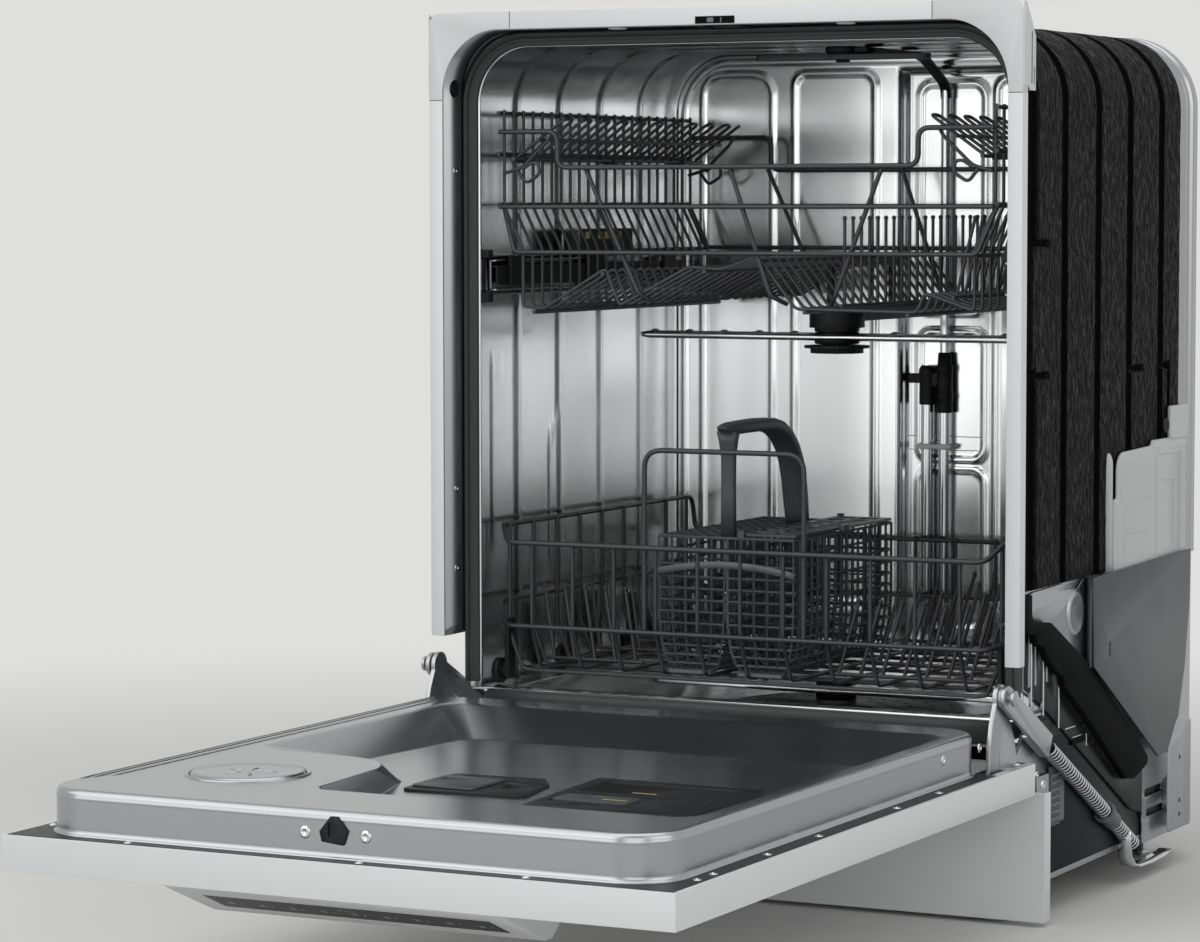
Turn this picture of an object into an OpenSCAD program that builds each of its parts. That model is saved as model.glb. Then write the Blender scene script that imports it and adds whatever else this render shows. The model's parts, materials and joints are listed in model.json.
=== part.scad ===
// Freestanding dishwasher with its door open.
// X runs to the machine's right, Y to its back and Z up, with the feet standing on Z = 0.
// Lengths inside the modules are measured back from the front face of the frame strips.
// machine_front then moves every piece so that the origin is the middle of the footprint.

/* [Cabinet] */
// Width over the frame strips
cabinet_w = 596; // [590:1:600]
// Height of the top frame strip above the floor
cabinet_h = 832; // [828:1:840]
// Depth from the frame face to the back of the tub
cabinet_d = 523; // [520:1:530]
// Width of each side frame strip
strip_w = 14; // [12:0.5:14]
// Height of the lower end of the side strips
strip_low = 243; // [242:1:250]

/* [Tub] */
// Width of the wash space
tub_w = 558; // [556:1:558]
// Height of the tub roof
tub_top = 808; // [804:1:808]
// Height of the wheel tracks along the tub floor
track_z = 190; // [188:1:190]
// Radius of the tub's upper corners
tub_r = 62; // [50:1:66]
// Distance of each pressed rib from the frame face
rib_y = [138, 228, 316, 407];

/* [Door] */
// Height of the outer panel, from its top edge to its foot
panel_h = 738.7; // [738:0.1:739]
// Thickness of the outer panel
panel_t = 29; // [28:0.5:29]
// Height of the steel liner above the panel
liner_t = 37; // [34:0.5:37]
// Radius of the hinge pivot
pivot_r = 5; // [4:0.5:6]

/* [Balance springs] */
// Outer diameter of the spring
spring_d = 15; // [13:0.5:15]
// Diameter of the spring wire
spring_wire_d = 2.4; // [2:0.1:2.6]
// Curls in each spring
spring_curls = 44; // [30:1:44]

/* [Racks] */
// Diameter of the rims of the racks
rim_wire_d = 5; // [4:0.5:5]
// Diameter of the thin rack wires
thin_wire_d = 3.2; // [3:0.1:3.6]
// Distance between neighbouring wires of the upper rack
upper_pitch = 19.5; // [19.5:0.5:24]
// Distance between neighbouring uprights of the lower rack
lower_pitch = 43.8; // [40:0.2:50]
// Half the length of the polished spray arm under the upper rack
upper_arm_r = 214; // [180:1:214]
// Half the length of the spray arm in the tub floor
lower_arm_r = 200; // [180:1:202]
// Diameter of the lower rack's wheels
wheel_d = 25; // [24:0.5:25]

/* [Hidden] */

// The open door's top edge lies this far in front of the frame face
door_reach = 697;
// Distance of the frame face behind the origin
machine_front = (door_reach - cabinet_d) / 2;

half_w = cabinet_w / 2;
inner_x = half_w - strip_w;
inner_top = cabinet_h - 16.4;
sheet = 1.6;
rib_h = 2.4;
tub_x = tub_w / 2;
tub_front = 44;
opening_x = 268;
opening_top = 800;
side_sheet_x = 281;

// The door turns about this line, which runs across the machine
pivot_y = -12;
pivot_z = 144;
panel_low = 123.8;
panel_top = panel_low + panel_t;
liner_top = panel_top + liner_t;
panel_back = panel_h - door_reach;
basin_z = liner_top - 22.6;

// Corners of the detergent cup's cavity in the liner
cup = [[-76, -424], [-22, -366]];
cup_floor = 148;

// The balance link: upper pin on the hinge arm, lower anchor on the base tray
link_pin = [pivot_y + 1, pivot_z + 73];
link_anchor = [345, 31];
link_x = 288;
link_run = norm(link_anchor - link_pin);
link_tilt = atan2(link_anchor[1] - link_pin[1], link_anchor[0] - link_pin[0]);
lever_reach = 121;
anchor_block = 6;
collar_at = 296;

pin_gap = 0.05;
wheel_y = [74, 205, 336, 467];
wheel_z = track_z + 1.2 + wheel_d / 2;
wheel_x = [259.4, 267];
round_n = 32;

// The well in the tub floor, the strainer in it, and the hub that carries the lower spray arm
well = [20, 250];
well_r = 92;
strainer = [39, 222];
strainer_r = 29;
hub = [0, 280];

function unit(v) = v / norm(v);

module placed() { translate([0, machine_front, 0]) children(); }

// A drawing on the Y-Z plane, drawn out along X from x by t
module side_plate(x, t) {
  translate([x, 0, 0]) rotate([90, 0, 90]) linear_extrude(t) children();
}

// A drawing on the X-Z plane, drawn out from y0 to y1
module front_plate(y0, y1) {
  translate([0, y1, 0]) rotate([90, 0, 0]) linear_extrude(y1 - y0) children();
}

// A block between two corners
module block(a, b) { translate(a) cube(b - a); }

// A round bar between two points
module rod(a, b, d) {
  v = b - a;
  l = norm(v);
  translate(a) rotate([0, acos(v[2] / l), atan2(v[1], v[0])]) cylinder(h = l, d = d, $fn = round_n);
}

// A run of straight bars, each lengthened a little so that the bends close
module bent_rod(pts, d) {
  last = len(pts) - 1;
  for (i = [0:last - 1]) {
    u = unit(pts[i + 1] - pts[i]) * d * 0.3;
    rod(pts[i] - (i == 0 ? 0 : 1) * u, pts[i + 1] + (i == last - 1 ? 0 : 1) * u, d);
  }
}

// A round pin along X, and one along Y
module x_pin(y, z, x0, x1, r) {
  translate([x0, y, z]) rotate([0, 90, 0]) cylinder(h = x1 - x0, r = r, $fn = 48);
}

module y_pin(x, z, y0, y1, r) {
  translate([x, y1, z]) rotate([90, 0, 0]) cylinder(h = y1 - y0, r = r, $fn = 48);
}

// The outline of a wire of width w bent in one plane along the points p, with mitred bends
function turn(p, i) =
  let (last = len(p) - 1,
    a = unit(p[min(i + 1, last)] - p[min(i, last - 1)]),
    b = unit(p[max(i, 1)] - p[max(i - 1, 0)]),
    n = unit([-a[1] - b[1], a[0] + b[0]]))
  n / (n * [-a[1], a[0]]);

module formed_wire(p, w) {
  last = len(p) - 1;
  polygon(concat([for (i = [0:last]) p[i] + turn(p, i) * w / 2],
    [for (i = [last:-1:0]) p[i] - turn(p, i) * w / 2]));
}

module both_sides() { children(); mirror([1, 0, 0]) children(); }

// A rectangle from one corner to the other with round corners
module rounded(a, b, r) {
  translate([a[0] + r, a[1]]) square([b[0] - a[0] - 2 * r, b[1] - a[1]]);
  translate([a[0], a[1] + r]) square([b[0] - a[0], b[1] - a[1] - 2 * r]);
  for (x = [a[0] + r, b[0] - r], y = [a[1] + r, b[1] - r]) translate([x, y]) circle(r, $fn = 64);
}

// The outline of a rounded rectangle, drawn as a band of width w
module rounded_band(a, b, r, w) {
  difference() {
    rounded(a, b, r);
    rounded(a + [w, w], b - [w, w], r - w);
  }
}

// The tub's section: upright sides with round upper corners
module arch(half, top, low, r) {
  translate([-half, low]) square([2 * half, top - r - low]);
  translate([r - half, low]) square([2 * (half - r), top - low]);
  for (s = [-1, 1]) translate([s * (half - r), top - r]) circle(r, $fn = 96);
}

// A band of the tub's section, t thick and growing outwards
module arch_band(half, top, low, r, t) {
  difference() {
    arch(half + t, top + t, low, r + t);
    arch(half, top, low - 1, r);
    translate([-half, low - 2]) square([2 * half, 20]);
  }
}

// Tub and cabinet

// The latch strike sits in this window of the sheet behind the top strip
strike_window = [[-22.2, 7.8, inner_top - 1], [22.2, 38.2, inner_top + 4]];

module tub_wrap() { color("silver") placed() {
  front_plate(tub_front + sheet, 498) arch_band(tub_x, tub_top, track_z - 2, tub_r, sheet);
  for (y = rib_y) front_plate(y - 4, y + 4)
    arch_band(tub_x - rib_h, tub_top - rib_h, track_z + 0.4, tub_r - rib_h, rib_h + 0.4);
  front_plate(tub_front, tub_front + sheet) difference() {
    union() {
      arch(inner_x + sheet, inner_top + sheet, strip_low, 60 + sheet);
      translate([-tub_x - 0.4, track_z - 2]) square([2 * tub_x + 0.8, strip_low]);
    }
    translate([0, -1]) arch(opening_x, opening_top, track_z - 2, 52);
    translate([-opening_x, track_z - 4]) square([2 * opening_x, 20]);
  }
  difference() {
    front_plate(2, tub_front) arch_band(inner_x, inner_top, strip_low, 60, sheet);
    block(strike_window[0], strike_window[1]);
  }
} }

module tub_back() { color("gainsboro") placed() {
  step_x = -24;
  front_plate(498, 500) intersection() {
    arch(tub_x + sheet, tub_top + sheet, track_z - 2, tub_r + sheet);
    translate([-300, 0]) square([300 + step_x, 900]);
  }
  front_plate(518, 520) intersection() {
    arch(tub_x + sheet, tub_top + sheet, track_z - 2, tub_r + sheet);
    translate([step_x - 2, 0]) square([400, 900]);
  }
  block([step_x - 2, 499, track_z - 2], [step_x, 519, tub_top]);
  front_plate(500, 520) arch_band(tub_x, tub_top, track_z - 2, tub_r, sheet);
  block([step_x - 1, 498, track_z - 2], [tub_x + sheet, 520, track_z]);
  front_plate(496, 499) {
    rounded_band([-248, 236], [-168, 787], 22, 5);
    rounded_band([-143, 236], [-52, 787], 14, 5);
  }
  front_plate(516, 519) {
    rounded_band([74, 236], [246, 780], 14, 5);
    rounded_band([-16, 389], [66, 521], 14, 5);
    rounded_band([-16, 214], [66, 380], 14, 5);
  }
} }

module tub_floor() { color("silver") placed() {
  low = [-244, 66];
  high = [244, 486];
  block([-tub_x, tub_front + 2, track_z - 2], [low[0] + 1, 496, track_z]);
  block([high[0] - 1, tub_front + 2, track_z - 2], [tub_x, 496, track_z]);
  block([low[0] + 1, tub_front + 2, track_z - 2], [high[0] - 1, low[1] + 1, track_z]);
  block([low[0] + 1, high[1] - 1, track_z - 2], [high[0] - 1, 496, track_z]);
  translate([0, 0, 160]) linear_extrude(track_z - 161) rounded_band(low, high, 40, 2);
  difference() {
    translate([0, 0, 160]) linear_extrude(2) rounded(low, high, 40);
    translate([well[0], well[1], 158]) cylinder(h = 8, r = well_r, $fn = 96);
  }
  difference() {
    translate([well[0], well[1], 146]) cylinder(h = 15, r = well_r + 2, $fn = 96);
    translate([well[0], well[1], 148]) cylinder(h = 20, r = well_r, $fn = 96);
    translate([strainer[0], strainer[1], 140]) cylinder(h = 20, r = strainer_r + 5, $fn = 96);
  }
  block([-262, tub_front + 2, 164], [262, tub_front + 4, track_z - 1]);
} }

module rear_flange() { color("lightgray") placed() {
  front_plate(466, 498) arch_band(tub_x + 2, tub_top + 2, 306, tub_r + 2, 3.5);
  front_plate(486, 492) arch_band(tub_x + 2, tub_top + 2, 306, tub_r + 2, 6);
  front_plate(498, 514) arch_band(tub_x + 2, tub_top + 2, 306, tub_r + 2, 7);
} }

module frame_strip_top() { color("gainsboro") placed() {
  block([-212, 0, inner_top], [212, 1.5, cabinet_h]);
  block([-212, 0, cabinet_h - 1.5], [212, 13, cabinet_h]);
  block([-212, 11.5, inner_top + 4], [212, 13, cabinet_h]);
} }

module frame_strips_side() { color("gainsboro") placed() both_sides() {
  block([inner_x, 0, strip_low], [half_w, 1.5, 750]);
  block([half_w - 1.5, 0, strip_low], [half_w, 13, 750]);
  block([inner_x + 4, 11.5, strip_low], [half_w, 13, 750]);
} }

module corner_covers() { color("gainsboro") placed() both_sides() {
  front_plate(0, 1.5) difference() {
    union() {
      translate([212, 750]) square([half_w - 212, cabinet_h - 762]);
      translate([212, 750]) square([half_w - 224, cabinet_h - 750]);
      translate([half_w - 12, cabinet_h - 12]) circle(12, $fn = 48);
    }
    arch(inner_x, inner_top, 700, 60);
  }
  block([212, 0, cabinet_h - 1.5], [half_w - 12, 13, cabinet_h]);
  block([half_w - 1.5, 0, 750], [half_w, 13, cabinet_h - 12]);
  difference() {
    side_plate(half_w, 1.2)
      polygon([[1, 831], [8, 828], [29, 800], [29, 752], [15, 752], [12, 756], [1, 756]]);
    side_plate(half_w - 1, 4) {
      translate([18, 758]) square([3.5, 46]);
      translate([24, 757]) square([3, 16]);
    }
  }
} }

module door_gasket() { color("dimgray") placed() {
  front_plate(39, 43.8) arch_band(opening_x + 2, opening_top + 1.5, track_z + 6, 54, 11);
  front_plate(36.5, 39.1) arch_band(opening_x + 6, opening_top + 5, track_z + 6, 58, 3);
  front_plate(35.8, 39.1) arch_band(opening_x + 11, opening_top + 9.5, track_z + 6, 62, 2.5);
} }

module insulation_mat() { color([0.16, 0.16, 0.17]) placed() difference() {
  front_plate(58, 464) arch_band(tub_x + 2, tub_top + 2, 306, tub_r + 2, 6.5);
  for (y = rib_y) front_plate(y - 3, y + 3) arch_band(tub_x + 6, tub_top + 6, 300, tub_r + 6, 6);
  for (s = [-1, 1]) {
    block([s * (tub_x + 8) - 3, 56, 616], [s * (tub_x + 8) + 3, 60, 760]);
    block([s * (tub_x + 8) - 3, 56, 616], [s * (tub_x + 8) + 3, 94, 619]);
    block([s * (tub_x + 8) - 3, 74, 330], [s * (tub_x + 8) + 3, 78, 499]);
    block([s * (tub_x + 8) - 3, 74, 496], [s * (tub_x + 8) + 3, 96, 499]);
  }
} }

module water_tank() { color("whitesmoke") placed() difference() {
  union() {
    side_plate(288, 3.6) polygon([[243, 232], [243, 425], [249, 431], [300, 431], [308, 425], [360, 425],
      [366, 457], [480, 457], [480, 232]]);
    side_plate(291, 1.8) polygon([[249, 238], [249, 419], [254, 425], [296, 425], [304, 419], [366, 419],
      [372, 451], [474, 451], [474, 238]]);
    for (y = [300, 430]) x_pin(y, 270, side_sheet_x + 1.5, 289, 6);
  }
  side_plate(291.6, 3) {
    translate([268, 250]) square([3, 160]);
    translate([268, 330]) square([90, 3]);
    translate([330, 250]) square([3, 150]);
    translate([392, 262]) square([3, 178]);
    translate([392, 388]) square([66, 3]);
    translate([430, 262]) square([3, 110]);
  }
} }

// Base

module foot_hole(x, y) { translate([x, y, 0]) cylinder(h = 80, r = 5 + pin_gap, $fn = 48); }

module base_tray() { color([0.2, 0.2, 0.21]) placed() {
  wall_x = 262;
  difference() {
    block([-wall_x, 72, 26], [wall_x, 516, 28]);
    block([-200, 130, 20], [200, 440, 40]);
    for (x = [-240, 240], y = [96, 484]) foot_hole(x, y);
  }
  both_sides() {
    side_plate(wall_x - 2, 2) polygon([[72, 24], [516, 24], [516, 160], [430, 160], [400, 126], [250, 126],
      [190, 150], [72, 150]]);
    block([wall_x - 2, 72, 27], [wall_x + 8, 516, 30]);
    difference() {
      union() {
        translate([240, 96, 22]) cylinder(h = 26, r = 14, $fn = 48);
        translate([240, 484, 22]) cylinder(h = 26, r = 14, $fn = 48);
      }
      foot_hole(240, 96);
      foot_hole(240, 484);
    }
    x_pin(link_anchor[0], link_anchor[1], wall_x - 1, link_x + 6, 3);
    translate([0, link_anchor[0], link_anchor[1]]) rotate([link_tilt, 0, 0])
      block([link_x - 6, -anchor_block, -anchor_block], [link_x + 5, anchor_block, anchor_block]);
  }
  block([-wall_x, 72, 26], [wall_x, 74, 60]);
  block([-wall_x, 514, 26], [wall_x, 516, 100]);
} }

module base_side_sheet() {
  line_y = function(y) link_pin[1] + (y - link_pin[0]) * tan(link_tilt) + 38;
  difference() {
    union() {
      side_plate(side_sheet_x, 1.5) polygon([[50, 305], [50, 216], [92, line_y(92)], [344, line_y(344)],
        [374, 62], [378, 48], [378, 30], [520, 30], [520, 305]]);
      side_plate(side_sheet_x - 15, 17) {
        translate([378, 30]) square([142, 1.5]);
        translate([372, 132]) square([148, 1.5]);
      }
      for (y = [62, 78, 108]) side_plate(side_sheet_x + 1, 2) translate([y, 218]) square([3, 84]);
      x_pin(175, 277, side_sheet_x + 1, side_sheet_x + 4, 13);
    }
    x_pin(175, 277, side_sheet_x + 2.5, side_sheet_x + 5, 9);
    side_plate(side_sheet_x - 1, 4) {
      rounded([384, 74], [434, 82], 3.9);
      rounded([390, 54], [440, 62], 3.9);
      translate([490, 112]) square([8, 16]);
    }
    for (z = [102, 58.4]) x_pin(483, z, side_sheet_x - 1, side_sheet_x + 3, 2.5);
  }
}

module base_side_right() { color("darkgray") placed() base_side_sheet(); }

module base_side_left() { color("darkgray") placed() mirror([1, 0, 0]) base_side_sheet(); }

module side_shield() { color("gray") placed() {
  difference() {
    side_plate(293.6, 3) polygon([[195, 306], [478, 311], [476, 262], [462, 196], [436, 126], [424, 117],
      [384, 116], [374, 122], [200, 222]]);
    side_plate(293, 5) translate([240, 228]) square([4, 14]);
  }
  for (p = [[230, 216], [446, 200]]) x_pin(p[0], p[1], side_sheet_x + 1.5, 294, 5);
} }

module side_baffle() { color([0.08, 0.08, 0.08]) placed() {
  side_plate(286, 7) polygon([[22, 304], [22, 284], [49, 257], [105, 221], [233, 139], [308, 101],
    [320, 100], [376, 113], [168, 226], [82, 278], [48, 300]]);
  for (p = [[100, 246], [210, 174]]) x_pin(p[0], p[1], side_sheet_x + 1.5, 287, 5);
} }

module toe_panel() { color("gainsboro") placed() {
  block([-half_w, 66, 4], [half_w, 67.5, 122]);
  block([-half_w, 66, 120.5], [half_w, 71.8, 122]);
  block([-half_w, 66, 4], [half_w, 76, 5.5]);
  both_sides() {
    block([half_w - 1.5, 66, 4], [half_w, 82, 122]);
    side_plate(264, 3) polygon([[67, 36], [67, 112], [104, 112], [104, 90], [84, 60], [84, 36]]);
    block([262, 84, 88], [268, 104, 112]);
  }
} }

module hinge_bracket_shape() {
  translate([pivot_y, pivot_z]) circle(12, $fn = 64);
  polygon([[pivot_y, pivot_z - 12], [pivot_y, pivot_z + 12], [44, pivot_z + 12], [72, 182], [126, 160],
    [126, 124], [60, 124], [44, pivot_z - 12]]);
}

module hinge_brackets() { color("darkgray") placed() both_sides() {
  side_plate(274.5, 4) hinge_bracket_shape();
  block([262, 100, 124], [275, 124, 148]);
  x_pin(pivot_y, pivot_z, 273, 286.6, pivot_r);
} }

module latch_strike() { color([0.1, 0.1, 0.1]) placed() difference() {
  block([-22, 8, inner_top - 2.2], [22, 38, inner_top + 3.6]);
  block([-16, 7, inner_top - 4], [16, 33, inner_top + 2]);
} }

// Water parts

module pipe(x, y, z0, z1, d) { translate([x, y, z0]) cylinder(h = z1 - z0, d = d, $fn = 40); }

module supply_pipes() { color("silver") placed() {
  pipe(2, 509, 190.2, 455, 13);
  pipe(21, 509, 190.2, 446, 13);
  block([-7, 500.5, 190.2], [30, 517.5, 194]);
  pipe(21, 509, 500, 776, 10);
  translate([11.5, 509, 446]) {
    translate([-9.5, 0, 0]) cylinder(h = 40, d = 17, $fn = 40);
    translate([9.5, 0, -8]) cylinder(h = 62, d = 17, $fn = 40);
    block([-11, -5, 18], [11, 8, 34]);
    block([-30, -4, 22], [-16, 2, 32]);
  }
  block([-8, 501, 400], [38, 504, 406]);
  block([-8, 514, 400], [38, 518, 406]);
  for (x = [-8, 35]) block([x, 501, 400], [x + 3, 518, 406]);
} }

module roof_duct() { color("dimgray") placed() {
  block([12, 300, tub_top - 9], [30, 512, tub_top - 2.6]);
  block([12, 500, 776.2], [30, 517.8, tub_top - 2.6]);
  translate([0, 292, tub_top - 9]) cylinder(h = 6.4, r = 17, $fn = 48);
  block([0, 292, tub_top - 9], [30, 304, tub_top - 2.6]);
  translate([0, 292, tub_top - 17]) cylinder(h = 9, r = 4, $fn = 48);
  translate([0, 292, tub_top - 18]) cylinder(h = 2, r = 7, $fn = 48);
} }

pump_z = 106;

module sump() { color([0.15, 0.15, 0.16]) placed() difference() {
  union() {
    translate([strainer[0], strainer[1], 96]) cylinder(h = 50, r = 44, $fn = 64);
    translate([strainer[0], strainer[1], 84]) cylinder(h = 12, r1 = 30, r2 = 44, $fn = 64);
    y_pin(strainer[0], pump_z, 170, 200, 22);
    y_pin(strainer[0] - 20, 106, 240, 300, 11);
    block([-26, 216, 132], [104, 228, 146]);
  }
  translate([strainer[0], strainer[1], 92]) cylinder(h = 60, r = strainer_r + 5, $fn = 64);
} }

module wash_pump() { color([0.12, 0.12, 0.13]) placed() {
  x = strainer[0];
  y_pin(x, pump_z, 96, 169.8, 38);
  y_pin(x, pump_z, 88, 96, 30);
  y_pin(x, pump_z, 80, 88, 16);
  for (y = [104, 122]) block([x - 30, y - 4, 28], [x + 30, y + 4, 74]);
} }

module filter_plate() { color("dimgray") placed() {
  difference() {
    translate([well[0], well[1], 162]) cylinder(h = 2, r = 118, $fn = 96);
    translate([strainer[0], strainer[1], 160]) cylinder(h = 8, r = strainer_r + 1.2, $fn = 64);
    for (a = [0:15:345], r = [44, 66, 88, 106])
      let (x = well[0] + r * cos(a), y = well[1] + r * sin(a))
        if (norm([x, y] - strainer) > 40 && norm([x, y] - hub) > 26)
          translate([x, y, 160]) cylinder(h = 8, r = 2.4, $fn = 16);
  }
  translate([hub[0], hub[1], 163]) cylinder(h = 4.5, r = 20, $fn = 64);
  translate([hub[0], hub[1], 163]) cylinder(h = 18, r = 12 - pin_gap, $fn = 64);
  for (p = [[-52, 226], [-34, 196]]) translate([p[0], p[1], 163]) cylinder(h = 8, r = 4, $fn = 32);
} }

// The pot-shaped strainer with its cross grip
module filter_cup() { color([0.1, 0.1, 0.1]) placed() translate([strainer[0], strainer[1], 0]) {
  difference() {
    translate([0, 0, 100]) cylinder(h = 66, r = strainer_r, $fn = 64);
    translate([0, 0, 104]) cylinder(h = 70, r = strainer_r - 2.4, $fn = 64);
    for (a = [0:45:315], z = [112:13:150])
      translate([0, 0, z]) rotate([0, 0, a]) block([20, -6, 0], [34, 6, 7]);
  }
  block([-28, -1.5, 158], [28, 1.5, 167]);
} }

// Spray arms

// A flat arm that narrows towards its tips, lying along X
module arm_blade(reach, z0, t, root, tip) {
  translate([0, 0, z0]) linear_extrude(t) {
    polygon([[-reach + tip, -tip], [-root, -root], [root, -root], [reach - tip, -tip], [reach - tip, tip],
      [root, root], [-root, root], [-reach + tip, tip]]);
    for (s = [-1, 1]) translate([s * (reach - tip), 0]) circle(tip, $fn = 48);
    circle(root * 1.15, $fn = 64);
  }
}

module jets(reach, z, xs) {
  for (x = xs) translate([x, (x > 0 ? 1 : -1) * 3, z]) cylinder(h = 3, r1 = 4, r2 = 2, $fn = 24);
}

module lower_spray_arm() { color("silver") placed() translate([hub[0], hub[1], 0]) {
  difference() {
    union() {
      arm_blade(lower_arm_r, 173, 9, 26, 15);
      translate([0, 0, 168]) cylinder(h = 18, r = 20, $fn = 64);
    }
    translate([0, 0, 160]) cylinder(h = 22, r = 12, $fn = 64);
  }
  jets(lower_arm_r, 181.9, [-180, -146, -110, -74, 66, 104, 140, 174]);
} }

module upper_spray_arm() { color("silver") placed() translate([0, 280, 0]) {
  difference() {
    union() {
      arm_blade(upper_arm_r, 519, 8, 24, 13);
      translate([0, 0, 516]) cylinder(h = 11.5, r = 22, $fn = 64);
    }
    translate([0, 0, 510]) cylinder(h = 30, r = 14.06, $fn = 64);
  }
  jets(upper_arm_r, 526.9, [-196, -158, -120, -82, -44, 60, 98, 136, 174, 204]);
} }

module roof_spray_arm() { color("dimgray") placed() translate([0, 292, 0]) difference() {
  union() {
    arm_blade(92, tub_top - 15.5, 5, 15, 9);
    translate([0, 0, tub_top - 15.5]) cylinder(h = 6, r = 16, $fn = 48);
  }
  translate([0, 0, tub_top - 20]) cylinder(h = 20, r = 4.06, $fn = 48);
} }

module upper_spray_feed() { color([0.13, 0.13, 0.14]) placed() {
  difference() {
    union() {
      block([-20, 280, 538], [20, 478, 548]);
      translate([0, 280, 532]) cylinder(h = 16, r = 27, $fn = 64);
      translate([0, 280, 528]) cylinder(h = 6, r = 22, $fn = 64);
    }
    block([-17, 300, 540], [17, 480, 546]);
  }
  for (i = [12, 20]) block([-16, upper_wires[i] - 3, 547], [-10, upper_wires[i] + 3, 592]);
  translate([0, 280, 508]) cylinder(h = 21, r = 14, $fn = 64);
  difference() {
    translate([0, 280, 507]) cylinder(h = 5, r = 26, $fn = 72);
    for (a = [0:12:348]) translate([26 * cos(a), 280 + 26 * sin(a), 505]) cylinder(h = 9, r = 1.6, $fn = 12);
  }
  translate([0, 280, 512]) cylinder(h = 2.5, r = 32, $fn = 64);
} }

// Rack runners: a fixed rail on each wall, a middle rail, and a bar on the rack

rail_y = [50, 486];

module rack_rails() { color("silver") placed() both_sides() {
  side_plate(268.4, 2.4) polygon([[50, 566], [50, 604], [486, 604], [486, 566]]);
  for (z = [602, 566]) block([261.5, rail_y[0], z], [276.4, rail_y[1], z + 2]);
  for (z = [562, 602]) block([261.5, rail_y[0] - 2, z], [276.4, rail_y[0] + 6, z + 6]);
} }

module mid_rails() { color("darkgray") placed() both_sides() {
  block([264.8, 60, 570], [267, 474, 600]);
  for (z = [598, 570]) block([259.2, 60, z], [266, 474, z + 2]);
} }

// Upper rack: the floor, the walls and each row of tines are welded grids that meet at their edges

rack_x = 250;
rack_y = [52, 476];
upper_wires = [for (y = [rack_y[0] + 8:upper_pitch:rack_y[1] - 6]) y];

// The shape of each floor wire across the rack
floor_wave = [[-228.2, 553], [-208, 553], [-142, 592], [-127, 557], [-55, 594], [-22, 592], [16, 604],
  [54, 556], [174, 554], [182, 572], [228.2, 556]];

module upper_floor() {
  for (y = upper_wires) front_plate(y - thin_wire_d / 2, y + thin_wire_d / 2)
    formed_wire(floor_wave, thin_wire_d);
  for (p = [[-217, 550.4], [-144, 587], [-38, 590.4], [16, 600.6], [64, 553.2], [166, 551.6]])
    rod([p[0], rack_y[0] + 5, p[1]], [p[0], rack_y[1] - 5, p[1]], 4);
}

// A side wall: uprights with a knee, rails along the machine, and the runner bar
module upper_wall() {
  top = 742;
  for (y = upper_wires) front_plate(y - thin_wire_d / 2, y + thin_wire_d / 2)
    formed_wire([[rack_x, top], [rack_x, 650], [rack_x - 20, 610], [rack_x - 20, 552]], thin_wire_d);
  for (p = [[rack_x + 2.6, top - 3], [rack_x + 2.6, 700], [rack_x + 2.6, 652], [rack_x - 17.4, 606]])
    rod([p[0], rack_y[0] + 2.7, p[1]], [p[0], rack_y[1] - 2.7, p[1]], 4);
  for (y = [96, 264, 430]) block([254, y - 15, 574], [257.5, y + 15, 656]);
  for (y = [91.4, 267.8, 424.6])
    block([shelf_pin[0] - 3.4, y - 4, shelf_pin[1] - 3.4], [rack_x + 2, y + 4, shelf_pin[1] + 3.4]);
  block([257.4, 60, 575], [263, 470, 595]);
}

module upper_end(y, s) {
  bent_rod([[-rack_x, y, 721], [-206, y, 721], [-190, y, 687], [171, y, 687], [187, y, 721],
    [rack_x, y, 721]], rim_wire_d);
  rod([-rack_x, y, 650], [rack_x, y, 650], 4.4);
  rod([-rack_x + 12, y, 607], [rack_x - 12, y, 607], 4.4);
  for (p = [[-162, -105], [-12, 30], [142, 95]])
    rod([p[0], y + s * 3, 686], [p[1], y + s * 3, 566], 4.4);
}

// Tines with ball tips standing on one rail along the machine
module tine_line(x, z, lean, h, y0, n, pitch, d) {
  rod([x, y0 - 8, z], [x, y0 + (n - 1) * pitch + 8, z], d + 0.6);
  for (i = [0:n - 1]) {
    tip = [x + lean, y0 + i * pitch, z + h];
    rod([x, y0 + i * pitch, z], tip, d);
    translate(tip) sphere(d * 0.72, $fn = 24);
  }
}

module upper_rack_basket() { color([0.2, 0.2, 0.21]) placed() {
  upper_floor();
  both_sides() difference() {
    upper_wall();
    y_pin(shelf_pin[0], shelf_pin[1], rack_y[0] + 20, rack_y[1] - 20, shelf_pin_r + pin_gap);
  }
  upper_end(rack_y[0], 1);
  upper_end(rack_y[1], -1);
  tine_line(96, 559.3, 0, 80, 76, 20, upper_pitch, 3.2);
  tine_line(206, 568, 18, 72, 76, 20, upper_pitch, 3.2);
} }

// A cup shelf, seen as the right one: it folds up about the rail by the wall
shelf_pin = [238, 695.4];
shelf_pin_r = 1.8;

module cup_shelf() {
  edge = [186, 733];
  wire_y = [for (i = [0:20]) 62 + i * 19.6];
  for (y = wire_y) front_plate(y - thin_wire_d / 2, y + thin_wire_d / 2)
    formed_wire([[shelf_pin[0] + 0.6, shelf_pin[1] + 1.6], edge], thin_wire_d);
  for (i = [0:2:18]) rod([edge[0] + 1.7, wire_y[i], edge[1] - 1.1],
    [edge[0] + 1.7, wire_y[i + 1], edge[1] - 1.1], 2.6);
  rod([shelf_pin[0], 56, shelf_pin[1]], [shelf_pin[0], 462, shelf_pin[1]], 2 * shelf_pin_r);
  rod([212, 56, 713.4], [212, 462, 713.4], 3.6);
}

module cup_shelf_right() { color([0.2, 0.2, 0.21]) placed() cup_shelf(); }

module cup_shelf_left() { color([0.2, 0.2, 0.21]) placed() mirror([1, 0, 0]) cup_shelf(); }

// Lower rack: floor, ends, sides and tine rows are welded grids that meet at their edges

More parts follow.
